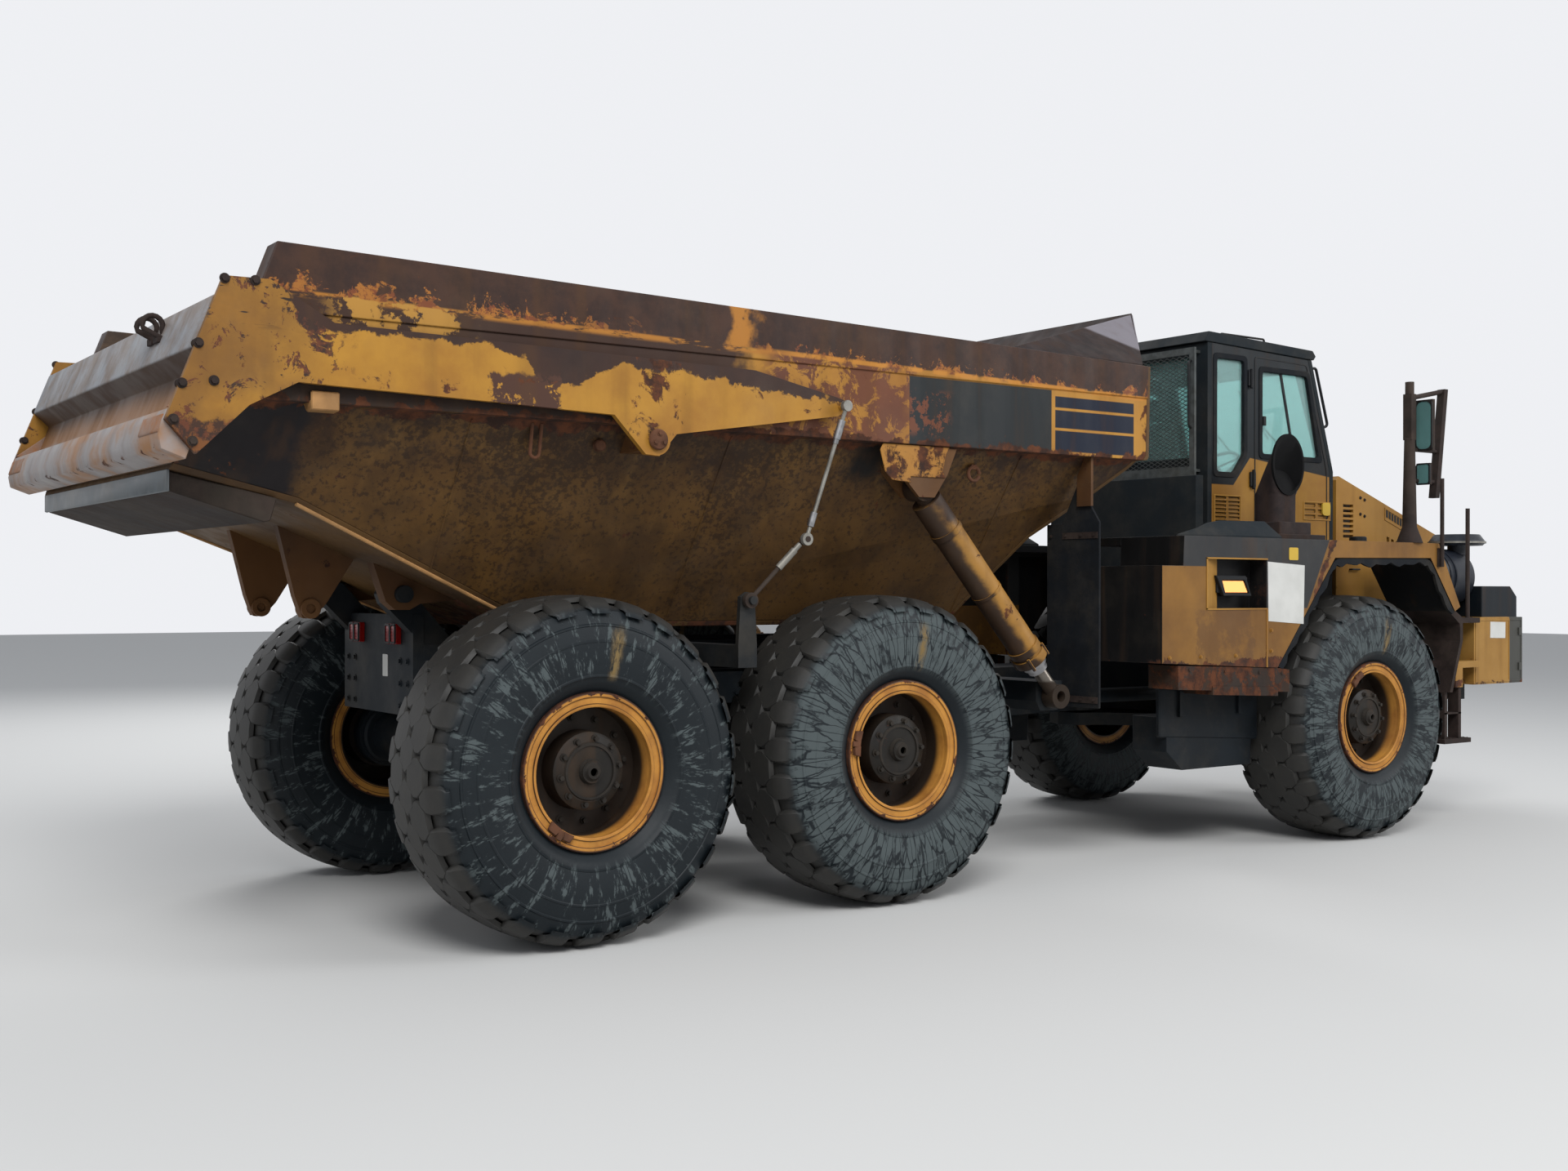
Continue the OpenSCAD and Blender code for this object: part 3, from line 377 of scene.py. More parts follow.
def corner_paint():
    """Yellow box with a grey front part and a black box on top."""
    n = Paint("corner", 0.45)
    x, z = n.part("X"), n.part("Z")
    n.base(n.spots(0.35, 0.7, 1.5, 5, 0.6), (160, 122, 62), (140, 102, 48))
    n.coat(n.above(x, 8.36), (66, 66, 62))
    top = n.above(z, 1.577)
    edge = n.times(n.above(n.part("nx"), 0.5, 0.1), n.above(n.part("nz"), 0.4, 0.1))
    n.coat(top, NAVY, (84, 88, 90), edge)
    n.worn(n.times(n.chips(0.3, [n.near(z, 1.06, 0.08, 0.2)]), n.unless(top, 0.1)), 0.45, 0.4)


ARM_EDGE = ((-1.62, 3.14), (-1.50, 2.96), (-1.338, 2.912), (-0.70, 2.918), (-0.42, 2.885), (-0.34, 2.745),
            (-0.14, 2.76), (-0.03, 2.84), (0.10, 2.885), (0.45, 2.870), (0.70, 2.848), (1.10, 2.800))


def gate_paint():
    """The gate's arms: worn yellow, brown above a ragged edge, with rust spots and dark scratches."""
    n = Paint("gate")
    x, z = n.part("X"), n.part("Z")
    cloud = n.spots(0.36, 0.68, 1.8, 6, 0.65)
    n.base(cloud, (168, 122, 46), (146, 101, 40))
    arm = n.above(n.side(), 1.615)
    height = n.ragged(z, 0.16, 7, 7, 0.7, dist=0.3)
    wavy = n.ragged(x, 0.35, 8, 7, 0.7, loc=(6, 1, 0))
    n.coat(n.times(arm, n.below(x, -1.45, 0.15), n.spots(0.3, 0.7, 2, 5, 0.6)), (118, 82, 38))
    low = n.times(arm, n.below(wavy, -1.66, 0.01), n.below(height, 2.50, 0.01))
    n.coat(low, (110, 68, 36), (60, 40, 30), n.spots(0.44, 0.52, 12, 6, 0.7))
    spots = n.times(n.below(x, -1.3, 0.1), n.spots(0.555, 0.58, 7, 7, 0.75, loc=(3, 0, 8), dist=0.5))
    n.coat(spots, (92, 52, 34), (52, 36, 30), n.spots(0.4, 0.6, 30, 4, 0.6))
    diagonal = n.spots(0.62, 0.66, 9, 3, 0.5, stretch=(0.6, 1, 3.2), loc=(0, 0, 4))
    n.coat(n.times(n.below(x, -1.45, 0.05), diagonal, n.above(z, 2.92, 0.04)), (44, 34, 28))
    bare = n.above(n.less(height, n.line(x, ARM_EDGE)), 0.0, 0.006)
    bare = n.times(bare, n.spots(0.30, 0.36, 4, 5, 0.6, loc=(0, 4, 0)))
    n.coat(bare, (57, 38, 30), (42, 29, 26), cloud)
    flake = n.times(n.span(wavy, -0.60, -0.22, 0.01), n.below(height, 2.80, 0.01))
    n.coat(n.times(flake, n.spots(0.40, 0.43, 11, 5, 0.7)), (70, 46, 36))
    n.worn(n.chips(0.55, [n.near(x, 0.3, 0.3, 0.1)]), 0.5, 0.5)


def from_axle(n, dx, dz):
    """Distance from a wheel's axis."""
    return n.math("SQRT", n.plus(n.times(dx, dx), n.times(dz, dz)))


def rim_paint(row):
    """Yellow-orange ring with a rusty edge and a dark hub, about one axle."""
    n = Paint("rim_" + row)
    r = from_axle(n, n.less(n.part("X"), AXLES[row]), n.less(n.part("Z"), AXLE_Z))
    cloud = n.spots(0.35, 0.7, 5, 5, 0.6)
    n.base(cloud, (188, 132, 58), (152, 100, 44))
    n.coat(n.below(r, 0.318, 0.006), (30, 27, 23), (20, 18, 16), cloud)
    n.coat(n.times(n.below(n.side(), TRACK_Y + 0.20, 0.03), n.below(r, 0.332)), (36, 28, 22))
    n.coat(n.above(r, 0.387), (56, 36, 28))
    n.coat(n.most(n.near(r, 0.372, 0.004), n.near(r, 0.338, 0.004)), (54, 36, 24))
    n.worn(n.chips(0.4, [n.near(r, 0.39, 0.03, 0.15)], 12), 0.5, 0.4)


def tyre_paint(row, phase, cover):
    """Blue-black wall with a pale film torn into radial flakes, and a muddy tread. Local to the wheel."""
    n = Paint("tyre_" + row, 0.75)
    y, z = n.part("Y"), n.part("Z")
    x = n.less(n.part("X"), MID)
    r = from_axle(n, x, z)
    angle = n.math("ARCTAN2", x, z)

    def polar(around, along):
        place = n.add("ShaderNodeCombineXYZ")
        for i, v in enumerate((n.mad(angle, around, phase), n.times(r, along), n.math("SIGN", y))):
            n.link(v, place.inputs[i])
        return place.outputs[0]

    bent = n.add("ShaderNodeMix", data_type="VECTOR")
    bent.inputs["Factor"].default_value = 0.16
    n.link(polar(6.5, 1.9), bent.inputs["A"])
    n.link(n.noise(1.6, 6.0, 0.5, vector=polar(5.0, 6.0), out="Color"), bent.inputs["B"])
    cells = n.add("ShaderNodeTexVoronoi", feature="DISTANCE_TO_EDGE")
    cells.inputs["Scale"].default_value = 2.9
    n.link(bent.outputs["Result"], cells.inputs["Vector"])
    torn = n.noise(2.2, 8.0, 0.72, vector=polar(5.5, 3.0))
    patchy = n.ramp(torn, 0.62 - 0.2 * cover, 0.66 - 0.14 * cover)
    wall = n.times(n.span(r, 0.47, 0.80, 0.03), n.above(n.side(), 0.24, 0.02))
    film = n.times(wall, n.ramp(cells.outputs["Distance"], 0.025, 0.07), patchy)
    n.base(n.noise(5, 5, 0.6), (26, 33, 37), (16, 21, 25))
    n.coat(n.times(film, 0.85), (80, 88, 89))
    n.coat(n.above(r, 0.812, 0.02), (58, 56, 52), (36, 37, 38), n.noise(6, 6, 0.7))
    streak = n.times(n.near(angle, 0.16, 0.08), n.span(r, 0.40, 0.70, 0.05), wall)
    n.coat(n.times(streak, n.ramp(torn, 0.40, 0.55)), (118, 98, 62))
    n.finish(n.ramp(film, 0, 1, 0.5, 0.85), n.bump(n.noise(40, 5, 0.6), 0.25, 0.003))


def barrel_paint():
    """Yellow cylinder, with painted shadow at its head under the bed's bracket and painted shade along its
    underside.
    """
    n = Paint("barrel")
    n.base(n.spots(0.35, 0.7, 3, 6, 0.6), (152, 110, 50), (110, 78, 38))
    # painted shadow at the head, which sits under the bed's bracket
    n.coat(n.above(n.mad(n.noise(6, 6, 0.7), 0.5, n.part("Z")), 2.42, 0.12), (46, 33, 26))
    # painted shade along the underside, on faces that look down
    n.coat(n.below(n.mad(n.noise(7, 6, 0.7), -0.5, n.part("nz")), -0.40, 0.15), (52, 38, 28))
    n.worn(n.chips(0.55, (), 10.0), 0.5, 0.5)


def rod_paint():
    """Chrome rod whose lower eye is painted and dirty."""
    n = Paint("rod", 0.3, 0.9)
    eye = n.below(n.part("Z"), 1.225, 0.01)
    dirty = n.mix(n.noise(9, 6, 0.7), (52, 40, 28), (30, 25, 22))
    n.set("Base Color", n.mix(eye, n.mix(n.noise(20, 4, 0.6), (128, 122, 114), (92, 86, 80)), dirty))
    n.set("Metallic", n.ramp(eye, 0, 1, 0.9, 0.1))
    n.set("Roughness", n.ramp(eye, 0, 1, 0.28, 0.7))


def guard_paint():
    """Brown rust with a pale triangle on the right wing."""
    n = Paint("guard", 0.8)
    n.base(n.spots(0.36, 0.64, 6, 7, 0.7), (52, 42, 40), (37, 31, 31))
    wing = n.times(n.below(n.part("ny"), -0.2, 0.05), n.below(n.part("Y"), -0.85, 0.01))
    over = n.above(n.less(n.part("Z"), n.mad(n.part("X"), -0.45, 5.20)), 0.0, 0.02)
    n.coat(n.times(wing, over), (122, 118, 124))
    n.worn(None, 0.8, 0.3)


def panel_paint():
    """Painted sky reflection on the upper band, painted shade in the brown recess that turns to peach, and a
    lower plate whitish in part from a painted sky reflection.
    """
    n = Paint("panel")
    z = n.part("Z")
    wavy = n.ragged(z, 0.10, 2.6, 6, 0.65, stretch=(1, 0.6, 1.6))
    # the steel tone is a painted reflection of the sky on the upper band
    steel = n.mix(n.spots(0.35, 0.65, 3.5, 6, 0.7), (140, 143, 148), (120, 108, 100))
    # the whitish tone of the lower plate is a painted reflection of the sky, mixed with orange paint
    n.base(n.spots(0.40, 0.62, 2.2, 5, 0.6, loc=(1, 2, 3)), (146, 141, 140), (150, 110, 76))
    # painted shade in the recess under the upper band: dark brown, fading to peach toward the lower plate
    n.coat(n.ramp(wavy, 2.54, 2.60), (136, 96, 60))
    n.coat(n.ramp(wavy, 2.60, 2.74), (62, 43, 30))
    n.coat(n.above(z, 2.796, 0.006), steel)
    n.coat(n.above(n.part("nx"), 0.4, 0.1), (84, 64, 48))
    n.worn(n.chips(0.2, [n.near(z, 2.36, 0.05, 0.15)]), 0.5, 0.3)


def gusset_paint():
    """Pale plate with a rusty orange edge and a dark foot."""
    n = Paint("gusset", 0.55)
    cloud = n.spots(0.36, 0.66, 6, 6, 0.65)
    n.base(cloud, (142, 118, 104), (150, 96, 52))
    n.coat(n.below(n.part("Z"), 2.42, 0.03), (70, 46, 32), (34, 26, 24), cloud)
    n.worn(n.chips(0.5), 0.55, 0.3)


def mottled_paint():
    """Yellow, half eaten by rust."""
    n = Paint("mottled", 0.55)
    n.base(n.spots(0.35, 0.7, 1.6, 5, 0.6), (160, 112, 48), (138, 92, 40))
    n.worn(n.spots(0.46, 0.54, 7, 8, 0.7, dist=0.4), 0.55, 0.4)


def spotted(name, light, dark, amount, rough, dirt, scale=6.0, foot=None):
    """Two cloudy tones with rust spots, more of them near foot: height, reach and weight."""
    n = Paint(name, rough)
    n.base(n.spots(0.35, 0.7, 0.9, 5, 0.6), light, dark)
    biases = [n.near(n.part("Z"), *foot)] if foot else []
    n.worn(n.chips(amount, biases, scale), rough, dirt)


def plain(name, rgb, rough, metallic, spread, scale, bump, dust, film=DUST):
    """A plain surface with cloudy tone, fine grain and a film of dust."""
    n = Paint(name, rough, metallic)
    cloud = n.noise(scale, 6, 0.6)
    colour = shade(rgb)[:3]
    tones = [(*(min(1, c * k) for c in colour), 1) for k in (1 - spread, 1 + spread)]
    n.base(n.ramp(cloud, 0.3, 0.7), *tones)
    if dust:
        n.coat(n.times(n.spots(0.42, 0.75, 1.7, 7, 0.7, loc=(4, 4, 4)), dust), film)
    sheen = n.ramp(cloud, 0.3, 0.7, max(0.05, rough - 0.08), min(1, rough + 0.1))
    n.finish(sheen, n.bump(n.noise(90, 3, 0.5), bump, 0.002))


def clear(name, rgb, rough, see_through):
    n = Paint(name, rough)
    n.set("Base Color", rgb)
    n.set("IOR", 1.45)
    n.set("Transmission Weight", see_through)


for make in (bed_side_paint, cab_wall_paint, fender_paint, corner_paint, gate_paint, guard_paint,
             panel_paint, gusset_paint, mottled_paint, barrel_paint, rod_paint):
    make()
for row, phase, cover in (("rear", 0.0, 0.52), ("middle", 4.0, 1.25), ("front", 9.0, 0.95)):
    tyre_paint(row, phase, cover)
    rim_paint(row)
spotted("bed_plate", (94, 68, 36), (58, 42, 28), 0.5, 0.6, 0.5, foot=(1.6, 0.2, 0.2))
spotted("yellow", (158, 116, 50), (134, 94, 40), 0.3, 0.42, 0.4, foot=(2.13, 0.05, 0.15))
spotted("bracket", (96, 64, 34), (60, 40, 26), 0.6, 0.6, 0.4, 9.0)
spotted("beam", (56, 41, 32), (38, 30, 26), 1.3, 0.7, 0.3, 8.0)
# name, colour, roughness, metallic, spread and scale of the cloud, grain, dust, and its colour if it differs
PLAIN = (
    ("rust", (84, 54, 38), 0.85, 0.0, 0.45, 7, 0.5, 0.12),
    ("rust_dark", (44, 35, 32), 0.8, 0.0, 0.4, 9, 0.45, 0.15),
    ("slate", (16, 24, 29), 0.72, 0.0, 0.22, 5, 0.08, 0.12),
    ("navy", NAVY, 0.6, 0.0, 0.35, 4, 0.15, 0.15),
    ("drum", (26, 30, 38), 0.4, 0.0, 0.3, 3, 0.1, 0.5, (96, 100, 104)),
    ("black", (15, 17, 20), 0.5, 0.0, 0.2, 6, 0.1, 0.1),
    ("steel", (150, 150, 152), 0.35, 0.9, 0.2, 20, 0.05, 0.1),
    ("worn_steel", (128, 126, 120), 0.5, 0.5, 0.3, 9, 0.2, 0.2),
    ("rubber", (13, 17, 22), 0.85, 0.0, 0.3, 6, 0.2, 0.15),
    ("seat", (40, 41, 44), 0.9, 0.0, 0.2, 60, 0.3, 0.1),
    ("engine", (90, 92, 92), 0.6, 0.3, 0.3, 8, 0.2, 0.3),
    ("paper", (196, 196, 192), 0.6, 0.0, 0.05, 6, 0.02, 0.25),
    ("sticker", (188, 156, 60), 0.5, 0.0, 0.08, 6, 0.02, 0.1),
    ("hub", (36, 32, 28), 0.7, 0.0, 0.4, 12, 0.3, 0.1),
    ("mirror", (96, 138, 136), 0.15, 0.3, 0.1, 3, 0.0, 0.1),
    ("lip", (100, 106, 110), 0.45, 0.3, 0.25, 5, 0.1, 0.3),
    ("tan", (158, 118, 74), 0.6, 0.0, 0.25, 6, 0.1, 0.2),
    ("mesh", (74, 78, 78), 0.5, 0.3, 0.3, 20, 0.1, 0.2),
    ("soot", (10, 10, 11), 0.95, 0.0, 0.3, 9, 0.2, 0.0),
)
for values in PLAIN:
    plain(*values)
clear("glass", (190, 232, 228), 0.04, 0.75)
clear("lamp_red", (150, 20, 16), 0.04, 0.3)
clear("lamp_clear", (226, 226, 220), 0.04, 0.4)
lamp = Paint("lamp_orange", 0.15)
lamp.set("Base Color", (250, 176, 96))
lamp.set("Emission Color", (255, 170, 104))
lamp.set("Emission Strength", 0.7)


# Materials and edges of the solids

COATS = {
    "navy": "rear_frame bogie front_frame front_axle belly_tanks left_steer_barrel right_steer_barrel",
    "drum": "air_cleaner",
    "bed_side": "bed_left_side bed_right_side",
    "bed_plate": "bed_floor bed_front",
    "gate": "gate_left_arm gate_right_arm gate_panel",
    "guard": "spill_guard",
    "bracket": "bed_brackets",
    "rust_dark": "rope_foot_links exhaust mirrors steps",
    "steel": "hoist_stage_1 hoist_stage_2 left_steer_rod right_steer_rod",
    "worn_steel": "rope_head_links",
    "rod": "hoist_rods",
    "barrel": "hoist_barrels",
    "yellow": "hood",
    "corner": "corner_boxes",
    "fender": "left_fender right_fender",
    "cab_wall": "cab_right_wall cab_left_wall cab_door",
    "slate": "cab_floor cab_roof cab_rear_wall cab_front_wall cab_rear_guard grille",
    "glass": "door_glass cab_glass",
    "seat": "cab_seat",
    "engine": "engine",
    "rubber": "mud_flaps",
    "black": "lamps",
    "lamp_red": "tail_lamps",
    "rim_rear": "rear_right_rim rear_left_rim",
    "rim_middle": "middle_right_rim middle_left_rim",
    "rim_front": "front_right_rim front_left_rim",
}
SHARP = ("glass", "seat")
SOFT_EDGE = 0.005


def soften(obj):
    """Welds a solid's mesh on the fly and rounds its edges a little."""
    weld = obj.modifiers.new("weld", "WELD")
    weld.merge_threshold = 0.0004
    edge = obj.modifiers.new("edge", "BEVEL")
    edge.width = SOFT_EDGE
    edge.segments = 2
    edge.limit_method = "ANGLE"
    edge.angle_limit = math.radians(40)
    edge.use_clamp_overlap = True


for key, names in COATS.items():
    for name in names.split():
        solid = N[name]
        solid.data.materials.clear()
        solid.data.materials.append(M[key])
        if key not in SHARP:
            soften(solid)


# Mesh building

def across(p, h, axis):
    """A point from two coordinates and its place along an axis."""
    return {"x": (h, p[0], p[1]), "y": (p[0], h, p[1]), "z": (p[0], p[1], h)}[axis]


def circle(u, v, r, n=24, start=0.0):
    """Points round a centre, the first at an angle in degrees."""
    turns = (math.radians(start) + 2 * math.pi * i / n for i in range(n))
    return [(u + r * math.cos(t), v + r * math.sin(t)) for t in turns]


def rect(u, v):
    return [(u[0], v[0]), (u[1], v[0]), (u[1], v[1]), (u[0], v[1])]


def soft_box(u, v, r):
    """A rectangle with round corners, as an outline."""
    out = []
    corners = ((u[1] - r, v[1] - r), (u[0] + r, v[1] - r), (u[0] + r, v[0] + r), (u[1] - r, v[0] + r))
    for k, (cu, cv) in enumerate(corners):
        for i in range(5):
            t = math.radians(90 * k + 22.5 * i)
            out.append((cu + r * math.cos(t), cv + r * math.sin(t)))
    return out


def arc(centre, r, a0, a1, axis, n=8):
    """Points of an arc in the plane across an axis, angles in degrees."""
    out = []
    for i in range(n + 1):
        t = math.radians(a0 + (a1 - a0) * i / n)
        d = across((r * math.cos(t), r * math.sin(t)), 0, axis)
        out.append(tuple(c + e for c, e in zip(centre, d)))
    return out


def bend(p, b, q, n):
    """A curve from p to q that is drawn toward b."""
    return [p * (1 - t) ** 2 + b * (2 * t * (1 - t)) + q * t ** 2 for t in (i / n for i in range(n + 1))]


def rounded(path, r, n=5):
    """A path with its corners rounded."""
    pts = [Vector(p) for p in path]
    out = [pts[0]]
    for a, b, c in zip(pts, pts[1:], pts[2:]):
        u, v = (a - b), (c - b)
        k = min(r, 0.45 * u.length, 0.45 * v.length)
        out += bend(b + u.normalized() * k, b, b + v.normalized() * k, n)
    return out + [pts[-1]]


def corner_trios(pts):
    """Each corner of an outline with the ones before and after it."""
    k = len(pts)
    return [[Vector(pts[(i + s) % k]) for s in (-1, 0, 1)] for i in range(k)]


def grown(pts, d):
    """An outline moved outward by d; its points run counterclockwise."""
    out = []
    for a, b, c in corner_trios(pts):
        u, v = (b - a).normalized(), (c - b).normalized()
        mu, mv = Vector((u.y, -u.x)), Vector((v.y, -v.x))
        out.append(tuple(b + (mu + mv) * (d / (1 + mu.dot(mv)))))
    return out


def corners_cut(pts, r):
    """An outline with its corners rounded, with as many points for any radius."""
    out = []
    for a, b, c in corner_trios(pts):
        out += [tuple(p) for p in bend(b + (a - b).normalized() * r, b, b + (c - b).normalized() * r, 4)]
    return out


def finished(bm, name, mat=None, sharp=None):
    """A smooth mesh from a bmesh, with edges sharp above an angle."""
    me = bpy.data.meshes.new(name)
    bm.to_mesh(me)
    bm.free()
    for p in me.polygons:
        p.use_smooth = True
    if sharp is not None:
        me.set_sharp_from_angle(angle=sharp)
    if mat:
        me.materials.append(M[mat])
    return me


def place_piece(name, me, body, matrix=None):
    obj = bpy.data.objects.new(name, me)
    scene.collection.objects.link(obj)
    if matrix is not None:
        obj.matrix_world = matrix
    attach(obj, body)
    return obj


class Pen:
    """Draws forms until done() makes them one piece, and then starts afresh."""

    def __init__(self):
        self.bm = bmesh.new()

    def skin(self, rings, loop=True, caps=True, closed=False):
        """Faces between point rings, back to the first one if closed."""
        vs = [[self.bm.verts.new(p) for p in ring] for ring in rings]
        if closed:
            vs.append(vs[0])
        k = len(vs[0])
        for a, b in zip(vs, vs[1:]):
            for i in range(k if loop else k - 1):
                self.bm.faces.new((a[i], a[(i + 1) % k], b[(i + 1) % k], b[i]))
        if caps and loop and not closed:
            self.bm.faces.new(list(reversed(vs[0])))
            self.bm.faces.new(vs[-1])

    def prism(self, pts, axis, a, b):
        """An outline drawn out along an axis; the outline is in the two other coordinates."""
        self.skin([[across(p, h, axis) for p in pts] for h in (a, b)])

    def box(self, x, y, z):
        self.prism(rect(x, y), "z", *z)

    def frame(self, outer, inner, axis, a, b):
        """A flat ring between two outlines with as many points."""
        rings = ((outer, a), (outer, b), (inner, b), (inner, a))
        self.skin([[across(p, h, axis) for p in ring] for ring, h in rings], closed=True)

    def rect_frame(self, u, v, width, axis, a, b):
        """A flat rectangular ring of one width."""
        inner = rect((u[0] + width, u[1] - width), (v[0] + width, v[1] - width))
        self.frame(rect(u, v), inner, axis, a, b)

    def lathe(self, profile, centre, axis="y", seg=48, caps=True):
        """Turns (radius, place along the axis) points about an axis through the centre."""
        rings = []
        for r, h in profile:
            ring = [across(p, h, axis) for p in circle(0, 0, r, seg)]
            rings.append([tuple(c + e for c, e in zip(centre, d)) for d in ring])
        self.skin(rings, caps=caps)

    def tube(self, path, r, seg=10):
        """A round bar along a path, its bends already rounded."""
        pts = [Vector(p) for p in path]
        rings = []
        up = Vector((0, 0, 1))
        for i, p in enumerate(pts):
            d = (pts[min(i + 1, len(pts) - 1)] - pts[max(i - 1, 0)]).normalized()
            if abs(d.dot(up)) > 0.98:
                up = Vector((0, 1, 0)) if abs(d.y) < 0.9 else Vector((1, 0, 0))
            s = d.cross(up).normalized()
            up = s.cross(d)
            rings.append([p + s * u + up * v for u, v in circle(0, 0, r, seg)])
        self.skin(rings)

    def bolt(self, at, axis, r, h):
        """A bolt head on a washer, standing out along +axis or -axis by h."""
        k = "xyz".index(axis)
        rest = [at[i] for i in range(3) if i != k]
        washer = at[k] + 0.25 * h
        self.prism(circle(*rest, 1.5 * r, 16), axis, at[k], washer)
        self.prism(circle(*rest, r, 6), axis, washer, at[k] + h)

    def done(self, name, mat, body, slot, mirror=False, bevel=0.0, sharp=0.6):
        bm, self.bm = self.bm, bmesh.new()
        bmesh.ops.recalc_face_normals(bm, faces=bm.faces[:])
        if bevel:
            edges = [e for e in bm.edges if len(e.link_faces) == 2 and e.calc_face_angle(0) > sharp]
            bmesh.ops.bevel(bm, geom=edges, offset=bevel, segments=1, affect="EDGES", clamp_overlap=True)
        if mirror:
            copy = bmesh.ops.duplicate(bm, geom=bm.verts[:] + bm.edges[:] + bm.faces[:])["geom"]
            bmesh.ops.scale(bm, vec=(1, -1, 1), verts=[g for g in copy if isinstance(g, bmesh.types.BMVert)])
            bmesh.ops.reverse_faces(bm, faces=[g for g in copy if isinstance(g, bmesh.types.BMFace)])
        bmesh.ops.translate(bm, vec=(-MID, 0, 0), verts=bm.verts[:])
        return place_piece(name, finished(bm, name, mat, sharp), body)

    def pair(self, name, mat, body, slot, **more):
        """A piece with its mirror image on the other side."""
        return self.done(name, mat, body, slot, mirror=True, **more)


m = Pen()


# Tyres: one mesh, turned a little for each wheel

PITCHES = 26
PITCH = 2 * math.pi / PITCHES
PITCH_LENGTH = 0.87 * PITCH  # along the tread
CHAMFER = 0.007  # along the lugs' edges
LEAN = 0.012  # how far a lug's foot stands out
WIDEST = 0.3265  # farthest foot of a lug from the middle
# (radius, distance from the wheel's middle) of half the casing
CASING = [
    (0.345, 0.262), (0.398, 0.266), (0.408, 0.274), (0.430, 0.296), (0.452, 0.312), (0.470, 0.320),
    (0.474, 0.325), (0.482, 0.325), (0.486, 0.322), (0.540, 0.332), (0.600, 0.3355), (0.640, 0.3350),
    (0.644, 0.3372), (0.652, 0.3372), (0.656, 0.3335), (0.700, 0.327), (0.720, 0.322), (0.724, 0.3255),
    (0.732, 0.3245), (0.736, 0.318), (0.770, 0.308), (0.800, 0.292), (0.818, 0.262), (0.832, 0.20),
    (0.840, 0.10), (0.842, 0.0)
]
# Lugs: stations of (y, left, right) with left and right in pitches
HEXAGON = [(-0.078, 0.27, 0.71), (-0.002, 0.04, 0.94), (0.002, 0.04, 0.94), (0.078, 0.27, 0.71)]
SECOND = [(0.020, 0.76, 1.22), (0.094, 0.52, 1.46), (0.130, 0.52, 1.46), (0.196, 0.70, 1.26)]
SHOULDER = [(0.150, 0.34, 0.62), (0.205, 0.20, 0.80), (0.245, 0.18, 0.82), (0.280, 0.19, 0.81),
            (0.305, 0.22, 0.78), (0.320, 0.28, 0.72)]


def crown(y):
    """Radius of the lugs' tops at a distance from the middle."""
    y = abs(y)
    if y < 0.2:
        return 0.874 - 0.010 * (y / 0.2) ** 2
    return 0.864 - 0.074 * ((y - 0.2) / 0.125) ** 2.2


def lug(stations, start, side, base):
    """One tread block, from a pitch on, on one side."""
    cut, lean = CHAMFER / PITCH_LENGTH, LEAN / PITCH_LENGTH

    def point(u, y, r):
        t = (start + u) * PITCH
        return (r * math.sin(t), y * side, r * math.cos(t))

    def row(y, a, b, drop, low):
        top = crown(y) - drop
        foot = min(base, top - 0.004)
        rise = top - CHAMFER
        heights = [foot] * 7 if low else [foot, rise, top, top, top, rise, foot]
        places = (a - lean, a, a + cut, (a + b) / 2, b - cut, b, b + lean)
        return [point(u, y, r) for u, r in zip(places, heights)]

    (y0, a0, b0), (y1, a1, b1) = stations[0], stations[-1]
    rows = [row(y0 - LEAN, a0, b0, 0, True), row(y0, a0, b0, CHAMFER, False)]
    rows += [row(min(max(y, y0 + CHAMFER), y1 - CHAMFER), a, b, 0, False) for y, a, b in stations]
    rows += [row(y1, a1, b1, CHAMFER, False), row(min(y1 + 0.008, WIDEST), a1, b1, 0, True)]
    m.skin(rows, loop=False)


def tyre_mesh():
    m.lathe(CASING + [(r, -y) for r, y in reversed(CASING[:-1])], (0, 0, 0), "y", 104, caps=False)
    for i in range(PITCHES):
        lug(HEXAGON, i, 1, 0.846)
        for side in (1, -1):
            lug(SECOND, i, side, 0.842)
            lug(SHOULDER, i, side, 0.815)
    bm, m.bm = m.bm, bmesh.new()
    bmesh.ops.recalc_face_normals(bm, faces=bm.faces[:])
    return finished(bm, "tyre", sharp=0.5)


# Wheels: (radius, distance from the wheel's middle) of what is turned
RIM_RING = [(0.322, 0.262), (0.322, 0.284), (0.329, 0.288), (0.337, 0.288), (0.339, 0.281), (0.368, 0.281),
            (0.371, 0.287), (0.383, 0.291), (0.394, 0.288), (0.398, 0.279), (0.398, 0.262)]
HUB_CAP = [(0.0001, 0.262), (0.0201, 0.262), (0.0201, 0.277), (0.0341, 0.277), (0.0401, 0.268),
           (0.0461, 0.262), (0.0581, 0.255), (0.0661, 0.235)]
HUB_LIP = [(0.128, 0.232), (0.128, 0.243), (0.140, 0.243), (0.146, 0.234)]
BOLT_RINGS = ((0.164, 0.226, 10, 0.026), (0.262, 0.096, 12, 0.024))  # radius, foot, count and height
# Parts of the split rim's lock: radius, angle, half height and half width
LOCK = ((0.345, -0.11, 0.022, 0.035), (0.352, 0.02, 0.026, 0.02), (0.345, 0.13, 0.020, 0.03))
LOCK_AT = {"rear": 235, "middle": 170, "front": 125}  # degrees
TURNS = {"rear_right": 8, "middle_right": 3, "front_right": -6,
         "rear_left": 11, "middle_left": 5, "front_left": 0}  # degrees


